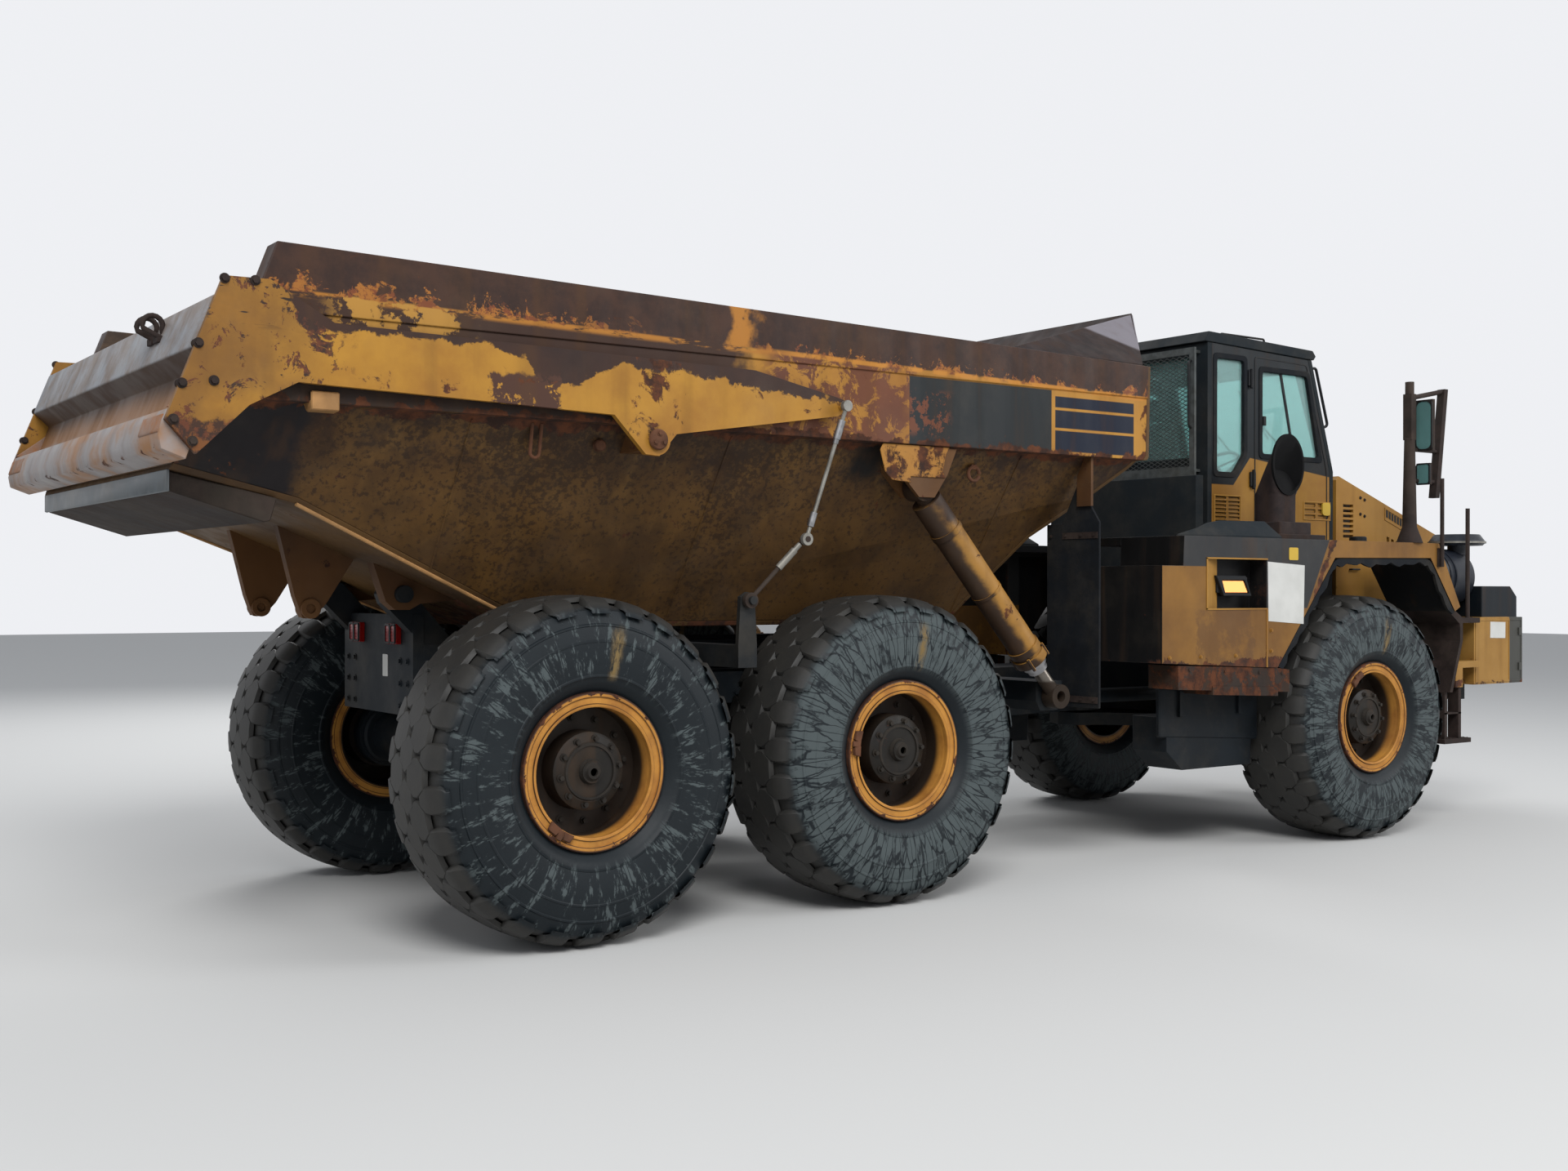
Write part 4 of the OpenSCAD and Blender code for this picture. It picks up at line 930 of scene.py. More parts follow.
def wheel(row, side, sy, tyre_me):
    """Tyre, rings round the rim's outer face, hub with its bolts, and the rim's rusty lock."""
    key, cx, y0 = row + "_" + side, AXLES[row], sy * TRACK_Y
    body = key + "_wheel"
    turned = tyre_me.copy()
    turned.transform(Matrix.Rotation(math.radians(TURNS[key]), 4, "Y"))
    turned.materials.append(M["tyre_" + row])
    tyre = place_piece(key + "_tread", turned, body, Matrix.Translation(P(cx, y0, AXLE_Z)))
    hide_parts(key + "_tyre")
    m.lathe([(r, sy * h) for r, h in RIM_RING], (cx, y0, AXLE_Z), "y", 72, caps=False)
    m.done(key + "_ring", "rim_" + row, body, "rim_orange")
    for (r, foot, count, high), start in zip(BOLT_RINGS, (TURNS[key], 8)):
        for x, z in circle(cx, AXLE_Z, r, count, start):
            m.bolt((x, y0 + sy * foot, z), "y", 0.013, sy * high)
    m.lathe([(r, sy * h) for r, h in HUB_CAP], (cx, y0, AXLE_Z), "y", 24)
    m.lathe([(r, sy * h) for r, h in HUB_LIP], (cx, y0, AXLE_Z), "y", 48, caps=False)
    m.done(key + "_hub", "hub", body, "rusty_steel")
    for k, (r, turn, high, wide) in enumerate(LOCK):
        t = math.radians(LOCK_AT[row]) + turn
        out, along = Vector((math.cos(t), math.sin(t))), Vector((-math.sin(t), math.cos(t)))
        centre = Vector((cx, AXLE_Z)) + out * r
        corners = ((-1, -1), (1, -0.7), (1, 0.7), (-1, 1))
        pts = [tuple(centre + out * a * high + along * b * wide) for a, b in corners]
        m.prism(pts, "y", y0 + sy * 0.280, y0 + sy * (0.300 + 0.004 * k))
    m.done(key + "_lock", "rust", body, "rusty_steel", bevel=0.003)


one_tyre = tyre_mesh()
for row in AXLES:
    for side, sy in (("right", -1), ("left", 1)):
        wheel(row, side, sy, one_tyre)


# Bed and tailgate

ARM_OUT, ARM_IN = 1.656, 1.622  # faces of a gate arm, from the middle
# Outlines on the tailgate: (distance down its lean, distance out to the rear)
PANEL = ((0.345, 0.0), (0.345, 0.140), (0.360, 0.150), (0.590, 0.150), (0.600, 0.142), (0.640, 0.045),
         (0.800, 0.045), (0.880, 0.146), (0.930, 0.150), (1.000, 0.142), (1.050, 0.112), (1.050, 0.0))
GUSSET = ((0.70, 0.044), (0.87, 0.148), (0.87, 0.100), (0.78, 0.030))
SCUFF = ((0.905, 0.146), (0.905, 0.154), (0.985, 0.150), (0.990, 0.140))
ARM_BOLTS = ((-1.831, 3.094), (-1.701, 3.099), (-1.939, 2.81), (-2.006, 2.636), (-1.874, 2.656),
             (-2.040, 2.483), (-1.962, 2.395))
ARM_PIN = (0.305, 2.526)
GATE_TOP = (-1.6095, 3.3024)  # where the lean starts
DOWN_X, DOWN_Z = -0.351, -0.936  # direction of the lean


def leaning(pts):
    """Outline in (x, z) from distances down the gate's lean, and out to the rear."""
    x, z = GATE_TOP
    return [(x + DOWN_X * down + DOWN_Z * out, z + DOWN_Z * down - DOWN_X * out) for down, out in pts]


def on_slope(x, z, lift):
    """A point of the bed's sloping wall, lifted a little outward."""
    foot_y, foot_z, lean = 0.8, 1.57, 0.6796
    return (x, foot_y + (z - foot_z) * lean + lift, z)


m.prism([(-1.955, 2.296), (-1.950, 2.205), (-1.53, 2.078), (-1.50, 2.085), (-1.47, 2.19)], "y", -1.25, 1.25)
m.done("tail_bolster", "rust_dark", "bed", "bed_yellow", bevel=0.006)
m.prism([(-1.965, 2.300), (-1.965, 2.208), (-1.953, 2.203), (-1.953, 2.300)], "y", -1.27, 1.27)
m.done("tail_lip", "lip", "bed", "bare_steel", bevel=0.002)

# panel with a raised band, a recess and a lower plate
m.prism(leaning(PANEL), "y", -ARM_IN, ARM_IN)
gate = m.done("gate_plate", "panel", "tailgate", "bed_yellow", bevel=0.004)
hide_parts("gate_panel")
for y in (-0.85, -0.95):
    # lifting eyes, like open shackles
    x, z = leaning([(0.470, 0.150)])[0]
    m.tube([(x + 0.02, y - 0.03, z - 0.01)] + arc((x - 0.030, y, z + 0.06), 0.045, 200, -20, "y", 10)
           + [(x + 0.03, y + 0.02, z - 0.02)], 0.013)
    m.box((x - 0.02, x + 0.05), (y - 0.04, y + 0.04), (z - 0.02, z + 0.012))
m.done("gate_eyes", "rust_dark", "tailgate", "rusty_steel", bevel=0.002)
for x, z in ARM_BOLTS:
    m.bolt((x, ARM_OUT, z), "y", 0.015, 0.017)
    if z < 3.0:
        m.bolt((x, ARM_IN, z), "y", 0.014, -0.015)
m.pair("gate_bolts", "rust_dark", "tailgate", "rusty_steel")
# gusset and scuff plate at each end of the panel's lower plate
m.prism(leaning(GUSSET), "y", 1.590, 1.614)
m.prism(leaning(SCUFF), "y", 1.30, 1.61)
m.pair("gate_gussets", "gusset", "tailgate", "bed_yellow", bevel=0.003)

# cap of the arm's hinge pin with its keeper bolts, and rest pads of the arms
m.lathe([(0.0001, 1.680), (0.046, 1.680), (0.052, 1.675), (0.054, 1.668)], across(ARM_PIN, 0, "y"), "y", 28)
for x, z in circle(*ARM_PIN, 0.03, 3, 90):
    m.bolt((x, 1.680, z), "y", 0.009, 0.011)
m.pair("arm_pin_caps", "rust", "bed", "rusty_steel")
m.prism([(1.505, 2.612), (1.500, 2.600), (1.545, 2.560), (1.615, 2.566), (1.615, 2.650), (1.598, 2.650),
         (1.598, 2.612)], "x", -1.44, -1.31)
m.pair("arm_pads", "tan", "bed", "bed_yellow", bevel=0.006)

# lifting loop, ring and pin end on the slope
m.tube([(-0.30, 1.487, 2.586), (-0.30, 1.462, 2.45)] + arc((-0.275, 1.460, 2.445), 0.025, 180, 360, "y", 8)
       + [(-0.25, 1.462, 2.45), (-0.25, 1.487, 2.586)], 0.009)
m.tube(arc((2.60, 1.455, 2.465), 0.042, 0, 345, "y", 22), 0.011)
m.box((2.58, 2.62), (1.405, 1.462), (2.492, 2.520))
m.lathe([(0.0001, 1.478), (0.022, 1.476), (0.030, 1.468), (0.032, 1.440)], (0.09, 0, 2.50), "y", 20)
m.pair("bed_loops", "rust", "bed", "rusty_steel")

# edge bar along the rising keel, whose tan colour is a painted highlight on the keel's edge, and seam beads
# on the slope
m.tube([on_slope(-1.37, 2.17, 0.002)[:2] + (2.168,), on_slope(0.03, 1.577, 0.002)], 0.010, 8)
m.pair("keel_bars", "tan", "bed", "bed_yellow")
for x, low in ((-0.62, 1.88), (0.86, 1.60), (2.95, 1.60)):
    m.tube([on_slope(x, low, 0.001), on_slope(x, 2.585, 0.001)], 0.005, 6)
m.pair("slope_seams", "bed_side", "bed", "bed_yellow")

# outer plate over the hoist's bracket, and bosses of the hanging lugs
m.prism([(1.82, 2.598), (1.80, 2.56), (1.835, 2.44), (1.885, 2.395), (2.02, 2.385), (2.02, 2.42),
         (2.28, 2.42), (2.26, 2.46), (2.285, 2.56), (2.31, 2.598)], "y", 1.566, 1.574)
m.pair("hoist_plates", "mottled", "bed", "bed_yellow", bevel=0.003)
for y0, y1 in ((0.350, 0.371), (0.429, 0.450)):
    m.frame(circle(-1.03, 1.675, 0.052), circle(-1.03, 1.675, 0.024), "y", y0, y1)
m.pair("lug_bosses", "bracket", "bed", "rusty_steel", bevel=0.002)

# rope couplings
m.tube([(1.416, 1.674, 2.590), (1.440, 1.692, 2.690)], 0.021, 12)
m.tube([(1.411, 1.670, 2.565), (1.416, 1.674, 2.592)], 0.016, 12)
m.tube([(1.302, 1.592, 2.120), (1.320, 1.605, 2.195)], 0.019, 12)
m.pair("rope_sleeves", "steel", "rope_head", "bare_steel")
m.tube([(1.150, 1.511, 1.894), (1.235, 1.542, 1.992)], 0.020, 12)
m.tube([(1.235, 1.542, 1.992), (1.262, 1.552, 2.023)], 0.015, 12)
m.pair("rope_turnbuckles", "worn_steel", "rope_foot", "bare_steel")

# wear bands, tie rods and pipe of the hoist barrels
HOIST_TOP, HOIST_FOOT = Vector((2.150, 1.482, 2.360)), Vector((3.250, 1.482, 1.130))
HOIST_DOWN = (HOIST_FOOT - HOIST_TOP).normalized()
ACROSS = Vector((0, 1, 0))
HOIST_SIDE = HOIST_DOWN.cross(ACROSS)


def on_hoist(d, off=Vector((0, 0, 0))):
    return HOIST_TOP + HOIST_DOWN * d + off


for a, b, r in ((0.30, 0.335, 0.099), (0.78, 0.80, 0.096), (1.225, 1.27, 0.101), (1.345, 1.352, 0.096)):
    m.tube([on_hoist(a), on_hoist(b)], r, 36)
for u, v in circle(0, 0, 0.104, 4, 45):
    off = HOIST_SIDE * u + ACROSS * v
    m.tube([on_hoist(1.275, off), on_hoist(1.362, off)], 0.010, 6)
m.tube([on_hoist(0.36, HOIST_SIDE * 0.098), on_hoist(1.22, HOIST_SIDE * 0.098)], 0.012, 8)
m.pair("hoist_bands", "barrel", "hoist_barrel", "rusty_steel")


# Rear frame and axles

FRAME_END, FRAME_Y = -0.500, 0.500  # rear face and side face of the frame
m.prism(soft_box((-0.155, -0.085), (1.30, 1.42), 0.006), "x", FRAME_END - 0.0035, FRAME_END + 0.0001)
m.done("rear_label", "paper", REAR, "chassis_black")
for y in (-0.43, -0.33, 0.33, 0.43):
    for z in (1.15, 1.27, 1.39):
        m.bolt((FRAME_END, y, z), "x", 0.013, -0.015)
for x in (-0.20, 0.10, 0.62, 1.25, 1.55, 2.55, 2.85):
    for z in (1.16, 1.42):
        for s in (1, -1):
            m.bolt((x, s * FRAME_Y, z), "y", 0.013, s * 0.015)
m.done("frame_bolts", "navy", REAR, "chassis_black")
for y, z in ((0.512, 1.31), (0.512, 1.345), (0.530, 1.328)):
    m.tube(rounded([(-0.30, y, z), (0.80, y, z), (0.84, y + 0.08, z + 0.13), (1.16, y + 0.08, z + 0.13),
                    (1.20, y, z), (3.00, y, z)], 0.04), 0.011, 8)
m.pair("frame_pipes", "black", REAR, "chassis_black")

# bolt circles, brake pipes and drums' backs on the three axles
BRAKE_PIPE = ((-0.05, 0.30, 0.127), (-0.06, 0.40, 0.160), (-0.06, 0.95, 0.150), (-0.06, 1.06, 0.19))
DRUM_BACK = ((0.0001, 1.010), (0.168, 1.010), (0.182, 1.022), (0.182, 1.041))
for row, cx in AXLES.items():
    for x, z in circle(cx, AXLE_Z, 0.225, 14, 90 / 7):
        for s in (1, -1):
            m.bolt((x, s * 0.169, z), "y", 0.012, s * 0.014)
    for s in (1, -1):
        pipe = [(cx + x, s * y, AXLE_Z + z) for x, y, z in BRAKE_PIPE]
        m.tube(rounded(pipe, 0.03), 0.007, 8)
        m.lathe([(r, s * y) for r, y in DRUM_BACK], (cx, 0, AXLE_Z), "y", 40)
    m.done("axle_parts_%d" % round(cx * 10), "navy", FRONT if row == "front" else REAR, "chassis_black")

# tail lamps: bezels and lenses
for y0, y1 in ((0.192, 0.264), (0.268, 0.338)):
    inner = soft_box((y0 + 0.009, y1 - 0.009), (1.491, 1.579), 0.010)
    m.frame(soft_box((y0, y1), (1.482, 1.588), 0.012), inner, "x", -0.538, -0.529)
m.pair("tail_bezels", "black", REAR, "rubber")
for k in range(5):
    m.prism(rect((0.201, 0.329), (1.493 + 0.017 * k, 1.508 + 0.017 * k)), "x", -0.534, -0.5295)
m.pair("tail_lenses", "lamp_red", REAR, "lamp_red")

# stiffening bars of the rubber flaps
FLAP_X = 3.486
m.box((FLAP_X, FLAP_X + 0.008), (1.17, 1.60), (1.08, 1.12))
m.box((FLAP_X, FLAP_X + 0.008), (1.30, 1.60), (2.10, 2.14))
for y in (1.20, 1.33, 1.46, 1.57):
    for z in (1.10, 2.12):
        m.bolt((FLAP_X, y, z), "x", 0.008, -0.010)
m.pair("flap_bars", "rust_dark", "bed", "rusty_steel")


# Cab

CAB_Y = 0.750  # side face of the cab
SIDE_WIN = ((6.115, 2.795), (6.822, 2.795), (6.665, 3.440), (6.115, 3.440))
REAR_WIN = ((5.600, 2.640), (5.810, 2.640), (5.930, 2.790), (5.930, 3.500), (5.600, 3.500))
RIGHT_SEAM = ((6.045, 2.150), (6.905, 2.150), (6.905, 2.709), (6.655, 3.515), (6.045, 3.530))

GASKETS = (("side_gasket", SIDE_WIN, FRONT, (-1,)), ("rear_gaskets", REAR_WIN, FRONT, (-1, 1)),
           ("door_gasket", SIDE_WIN, "door", (1,)))
for name, win, body, sides in GASKETS:
    outer, inner = corners_cut(grown(win, 0.026), 0.045), corners_cut(grown(win, -0.014), 0.030)
    for s in sides:
        m.frame(outer, inner, "y", s * 0.722, s * 0.757)
    m.done(name, "rubber", body, "rubber", bevel=0.003)

# outline of the emergency door on the right: seam, hinges and latch
seam = corners_cut(RIGHT_SEAM, 0.03)
m.frame(grown(seam, 0.005), grown(seam, -0.004), "y", -CAB_Y - 0.0035, -CAB_Y + 0.0005)
m.done("right_seam", "black", FRONT, "rubber")
for x, z in ((5.985, 3.36), (6.010, 2.61)):
    m.box((x - 0.030, x + 0.030), (-0.768, -CAB_Y), (z - 0.055, z + 0.055))
    m.lathe([(0.0001, -0.075), (0.013, -0.072), (0.013, 0.072), (0.0001, 0.075)], (x, -0.770, z), "z", 14)
m.box((6.130, 6.160), (-0.766, -CAB_Y), (3.02, 3.09))
m.done("right_hinges", "black", FRONT, "cab_slate", bevel=0.003)

# bar between the two panes of each side window
for name, s, body in (("right_pane_bar", -1, FRONT), ("left_pane_bar", 1, "door")):
    m.prism([(6.352, 3.440), (6.516, 2.795), (6.542, 2.795), (6.378, 3.440)], "y", s * 0.723, s * 0.737)
    m.done(name, "black", body, "rubber", bevel=0.002)

# handrails on the roof and beside the windscreen, and one behind the cab
for s in (-1, 1):
    y = s * 0.715
    m.tube(rounded([(5.70, y, 3.662), (5.705, y, 3.677), (6.19, y, 3.677), (6.20, y, 3.645)], 0.012), 0.008)
    y = s * 0.728
    rail = [(6.745, y, 3.500), (6.800, y, 3.508), (6.948, y, 3.070), (6.880, y, 3.048)]
    m.tube(rounded(rail, 0.03), 0.011)
m.done("cab_rails", "black", FRONT, "cab_slate")
y = -0.655
m.tube(rounded([(5.470, y, 3.46), (5.420, y, 3.46), (5.420, y, 2.98), (5.470, y, 2.96)], 0.03), 0.010)
m.done("rear_rail", "black", FRONT, "cab_slate")

# guard behind the cab: frame, feet and expanded-metal mesh
GUARD_X, GUARD_HALF, GUARD_LOW, GUARD_HIGH = 5.450, 0.645, 2.685, 3.515
CELL_W, CELL_H = 0.060, 0.030
STRAND = 0.0044


def strand(p, q, x):
    """A flat strand in the plane x, from p to q in (y, z)."""
    d = (Vector(q) - Vector(p)).normalized() * STRAND / 2
    pts = [(y - k * d.y, z + k * d.x) for (y, z), k in ((p, 1), (p, -1), (q, -1), (q, 1))]
    m.prism(pts, "x", x - 0.0015, x + 0.0015)


def strands(lean):
    """Strands that rise toward +y or -y, cut off at the frame's lower and upper edge."""
    reach = CELL_H / CELL_W * 2 * GUARD_HALF
    za = GUARD_LOW - reach
    ya, yb = -lean * GUARD_HALF, lean * GUARD_HALF
    while za < GUARD_HIGH:
        t0 = max(0.0, (GUARD_LOW - za) / reach)
        t1 = min(1.0, (GUARD_HIGH - za) / reach)
        if t1 - t0 > 0.01:
            ends = [(ya + (yb - ya) * t, za + reach * t) for t in (t0, t1)]
            strand(*ends, GUARD_X - 0.001 * lean)
        za += CELL_H


m.frame(rect((-0.69, 0.69), (2.62, 3.56)), rect((-0.64, 0.64), (2.69, 3.51)), "x",
        GUARD_X - 0.010, GUARD_X + 0.010)
for y in (-0.67, 0.67):
    for z in (2.66, 3.53):
        m.box((5.458, 5.516), (y - 0.01, y + 0.01), (z - 0.01, z + 0.01))
strands(1)
strands(-1)
guard = m.done("rear_guard_mesh", "mesh", FRONT, "cab_slate", sharp=0.5)
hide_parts("cab_rear_guard")


def on_screen(y, z):
    """A point just outside the windscreen."""
    foot_x, foot_z, lean = 6.990, 2.709, 0.316
    return (foot_x - (z - foot_z) * lean + 0.004, y, z)


# wipers
for y in (0.05, -0.45):
    arm = [on_screen(y, 2.730), on_screen(y + 0.05, 2.80), on_screen(y + 0.37, 3.22)]
    m.tube(rounded(arm, 0.03), 0.008, 8)
    m.tube([on_screen(y + 0.25, 3.00), on_screen(y + 0.45, 3.40)], 0.007, 6)
m.done("wipers", "black", FRONT, "rubber")

# blank sticker, and frames of the louvres on the cab's right wall
m.prism(soft_box((6.845, 6.940), (2.365, 2.465), 0.024), "y", -0.7620, -0.7499)
m.done("cab_sticker", "sticker", FRONT, "cab_yellow")
for z in (2.222, 2.454):
    m.box((5.590, 5.880), (-0.754, -CAB_Y), (z - 0.012, z - 0.008))
for u, v in (((6.620, 6.950), (2.325, 2.470)), ((5.585, 5.885), (2.205, 2.485))):
    m.rect_frame(u, v, 0.010, "y", -0.756, -0.7495)
m.done("louvre_frames", "yellow", FRONT, "cab_yellow", bevel=0.002)


# Seat: cushions are crowned, the rest is rigid

def cushion(name, half, centre, tilt, channels):
    """A padded form: rounded box whose sides pull in, with sewn channels across its face."""
    bm = bmesh.new()
    bmesh.ops.create_cube(bm, size=2.0)
    bmesh.ops.subdivide_edges(bm, edges=bm.edges[:], cuts=17, use_grid_fill=True)
    for v in bm.verts:
        x, y, z = v.co
        k = (abs(x) ** 5 + abs(y) ** 5 + abs(z) ** 5) ** 0.2
        x, y, z = x / k, y / k, z / k
        if z > 0:
            z *= 0.86 + 0.14 * (1 - x * x) * (1 - y * y)
            for c in channels:
                z -= 0.10 * math.exp(-((x - c) / 0.05) ** 2) * (1 - y ** 4)
        x *= 0.98 + 0.02 * y * y
        y *= 0.975 + 0.025 * x * x
        piping = 1 + 0.02 * math.exp(-((z - 0.25) / 0.06) ** 2) * max(abs(x), abs(y)) ** 8
        v.co = Vector((x * half[0] * piping, y * half[1] * piping, z * half[2]))
    bmesh.ops.recalc_face_normals(bm, faces=bm.faces[:])
    me = finished(bm, name, "seat")
    me.transform(Matrix.Translation(P(*centre)) @ Matrix.Rotation(math.radians(tilt), 4, "Y"))
    obj = place_piece(name, me, FRONT)


cushion("seat_cushion", (0.255, 0.255, 0.062), (6.065, 0, 2.468), -3, (-0.35, 0.35))
cushion("seat_back", (0.275, 0.248, 0.060), (5.775, 0, 2.800), 82, (-0.45, 0.0, 0.45))
cushion("head_rest", (0.088, 0.138, 0.046), (5.742, 0, 3.165), 85, ())
m.prism([(5.84, 2.010), (6.26, 2.010), (6.20, 2.06), (6.17, 2.28), (6.28, 2.36), (6.29, 2.412),
         (5.82, 2.412), (5.83, 2.36), (5.93, 2.28), (5.90, 2.06)], "y", -0.22, 0.22)
for y in (-0.07, 0.07):
    m.tube([(5.760, y, 3.02), (5.748, y, 3.13)], 0.008)
# dashboard with a sloping face and a binnacle
m.prism([(6.943, 2.400), (6.720, 2.400), (6.700, 2.440), (6.760, 2.640), (6.800, 2.690),
         (6.943, 2.700)], "y", -0.70, 0.70)
m.prism([(6.760, 2.640), (6.740, 2.700), (6.770, 2.735), (6.880, 2.735), (6.943, 2.700)], "y", -0.26, 0.26)
# steering column and wheel with three spokes
WHEEL_LEAN = math.radians(-38)
WHEEL_HUB = Vector((6.500, 0, 2.762))
WHEEL_AXIS = Vector((math.sin(WHEEL_LEAN), 0, math.cos(WHEEL_LEAN)))
WHEEL_UP = WHEEL_AXIS.cross(ACROSS)


def on_wheel(r, n, start=0.0):
    """Points round the steering wheel."""
    return [WHEEL_HUB + WHEEL_AXIS * 0.012 + ACROSS * u + WHEEL_UP * v for u, v in circle(0, 0, r, n, start)]


m.tube([(6.72, 0, 2.48), (6.505, 0, 2.755)], 0.030, 16)
ring = on_wheel(0.195, 32)
m.tube(ring + ring[:1], 0.014, 10)
for end in on_wheel(0.192, 3, 90):
    m.tube([WHEEL_HUB, end], 0.010, 8)
seat = m.done("seat_frame", "black", FRONT, "rubber", bevel=0.004)
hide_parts("cab_seat")


# Fenders and deck

FENDER_Y = 1.550  # side face of the fenders
DECK_Z = 2.135
m.prism([(4.789, 1.766), (5.021, 1.766), (4.975, 1.845), (4.756, 1.845)], "y", 1.498, 1.510)
m.pair("work_lamp_lenses", "lamp_orange", FRONT, "lamp_clear", bevel=0.003)
m.frame([(4.765, 1.742), (5.050, 1.742), (4.990, 1.880), (4.690, 1.880)],
        [(4.785, 1.762), (5.025, 1.762), (4.978, 1.849), (4.752, 1.849)], "y", 1.470, 1.520)
m.pair("work_lamp_rims", "black", FRONT, "rubber", bevel=0.004)

# blank sheet and small blank sticker on the right side
sheet = [(5.186, 1.573), (5.561, 1.550), (5.572, 1.955), (5.178, 1.976)]
sticker = soft_box((5.405, 5.503), (1.990, 2.076), 0.010)
for name, outline, mat in (("blank_sheet", sheet, "paper"), ("fender_sticker", sticker, "sticker")):
    m.prism(outline, "y", -FENDER_Y - 0.0025, -FENDER_Y + 0.0005)
    m.done(name, mat, FRONT, "cab_yellow")

# seam strip, bolts, and frame of the lamp's recess
m.box((5.164, 5.178), (FENDER_Y - 0.001, FENDER_Y + 0.004), (1.262, 1.660))
for z in (1.37, 1.51):
    m.bolt((5.215, FENDER_Y, z), "y", 0.011, 0.012)
for x in (4.20, 4.50, 4.85):
    m.bolt((x, FENDER_Y, 1.345), "y", 0.010, 0.010)
RECESS = (((4.555, 4.565), (1.655, 1.995)), ((4.555, 5.175), (1.988, 1.998)),
          ((4.555, 5.175), (1.652, 1.662)))
for x, z in RECESS:
    m.box(x, (FENDER_Y - 0.001, FENDER_Y + 0.005), z)
m.pair("fender_trim", "yellow", FRONT, "cab_yellow")


def cut_up(path, step):
    """A path with points added about one step apart."""
    out = []
    for (x0, z0), (x1, z1) in zip(path, path[1:]):
        k = max(1, round(math.hypot(x1 - x0, z1 - z0) / step))
        out += [(x0 + (x1 - x0) * i / k, z0 + (z1 - z0) * i / k) for i in range(k)]
    return out + [path[-1]]


# rubber strip in the arch: its outer edge follows the arch, its inner edge is ragged
ARCH = ((5.298, 0, 1.262), (5.925, 0, 2.006), (7.058, 0, 2.019), (7.372, 0, 1.622))
edge = cut_up([(p.x, p.z) for p in rounded(ARCH, 0.06, 4)], 0.06)
ragged = []
for i, (x, z) in enumerate(edge):
    deep = 0.045 + 0.012 * math.sin(2.1 * i) + 0.008 * math.sin(5.3 * i + 1)
    to = (Vector((AXLES["front"], AXLE_Z)) - Vector((x, z))).normalized()
    ragged.append((x + to.x * deep, z + to.y * deep))
m.prism(edge + ragged[::-1], "y", 1.525, 1.546)
m.pair("arch_rubber", "rubber", FRONT, "rubber")

# rusty two-step beam under each fender box, and the belly tank's side up to it
m.prism([(4.29, 1.292), (5.284, 1.2545), (5.420, 1.238), (5.420, 1.085), (4.29, 1.136)], "y", 1.290, 1.543)
m.prism([(4.62, 1.150), (5.290, 1.122), (5.290, 1.062), (4.62, 1.092)], "y", 1.300, 1.550)
for x in (4.40, 4.75, 5.10, 5.34):
    m.bolt((x, 1.543, 1.268 - (x - 4.3) * 0.05), "y", 0.012, 0.006)
m.pair("fender_beams", "beam", FRONT, "rusty_steel", bevel=0.004)
m.prism([(4.425, 0.800), (5.430, 0.740), (5.430, 1.100), (4.425, 1.130)], "y", 1.228, 1.268)
m.pair("tank_sides", "navy", FRONT, "cab_slate", bevel=0.010)

# tread ribs of the deck, each second row farther in
for i in range(4):
    x = 6.295 + 0.125 * i
    for j in range(4):
        y = 0.86 + 0.17 * j + (0 if i % 2 else 0.04)
        rib = [(x - 0.030, y - 0.006), (x + 0.030, y + 0.010), (x + 0.032, y + 0.016), (x - 0.028, y)]
        m.prism(rib, "z", DECK_Z + 0.0005, DECK_Z + 0.0055)
m.pair("deck_tread", "worn_steel", FRONT, "chassis_black")

# sloping covers, the exhaust's base, facets beside the work lamps, and filler caps
COVER_FOOT = ((4.42, 1.420), (5.385, 1.505), (5.385, 0.860), (5.060, 0.860))
COVER_TOP = ((4.92, 1.355), (5.310, 1.420), (5.310, 1.020), (5.180, 1.020))
cover = ((COVER_FOOT, 2.134), (COVER_FOOT, 2.150), (COVER_TOP, 2.256))
m.skin([[(x, y, z) for x, y in ring] for ring, z in cover])
m.bolt((5.30, 1.46, 2.150), "z", 0.009, 0.010)
m.pair("deck_covers", "slate", FRONT, "cab_slate", bevel=0.004)
m.prism(soft_box((5.500, 5.850), (-1.400, -0.840), 0.012), "z", 2.134, 2.262)
m.prism(soft_box((5.400, 5.945), (-1.450, -0.830), 0.006), "z", 2.134, 2.174)
m.done("exhaust_base", "guard", FRONT, "rusty_steel", bevel=0.004)
m.prism([(4.5565, 1.402), (4.5565, 1.5485), (4.745, 1.478), (4.745, 1.402)], "z", 1.6605, 1.9895)
m.pair("lamp_facets", "yellow", FRONT, "cab_yellow")
m.lathe([(0.0001, 2.185), (0.055, 2.183), (0.062, 2.175), (0.062, 2.150), (0.075, 2.148), (0.075, DECK_Z)],
        (6.60, 1.25, 0), "z", 28)
m.pair("filler_caps", "black", FRONT, "rubber")


# Corner boxes, air cleaner, mirrors and steps

BOX_Y = 1.400  # side face of the corner boxes
label = [(8.090, 1.412), (8.300, 1.408), (8.302, 1.535), (8.092, 1.540)]
m.prism(label, "y", -BOX_Y - 0.0025, -BOX_Y + 0.0005)
m.done("corner_label", "paper", FRONT, "cab_yellow")
m.rect_frame((7.885, 8.535), (1.065, 1.560), 0.012, "y", BOX_Y - 0.0005, BOX_Y + 0.0045)
m.box((8.352, 8.358), (BOX_Y - 0.0005, BOX_Y + 0.0045), (1.066, 1.559))
for z in (1.18, 1.46):
    m.box((8.485, 8.515), (BOX_Y - 0.0005, BOX_Y + 0.012), (z - 0.03, z + 0.03))
m.pair("corner_trim", "corner", FRONT, "cab_yellow", bevel=0.001)
for z in (1.555, 1.30, 1.06):
    m.box((8.548, 8.5499), (1.02, 1.38), (z - 0.012, z))
m.pair("corner_ribs", "corner", FRONT, "cab_yellow")

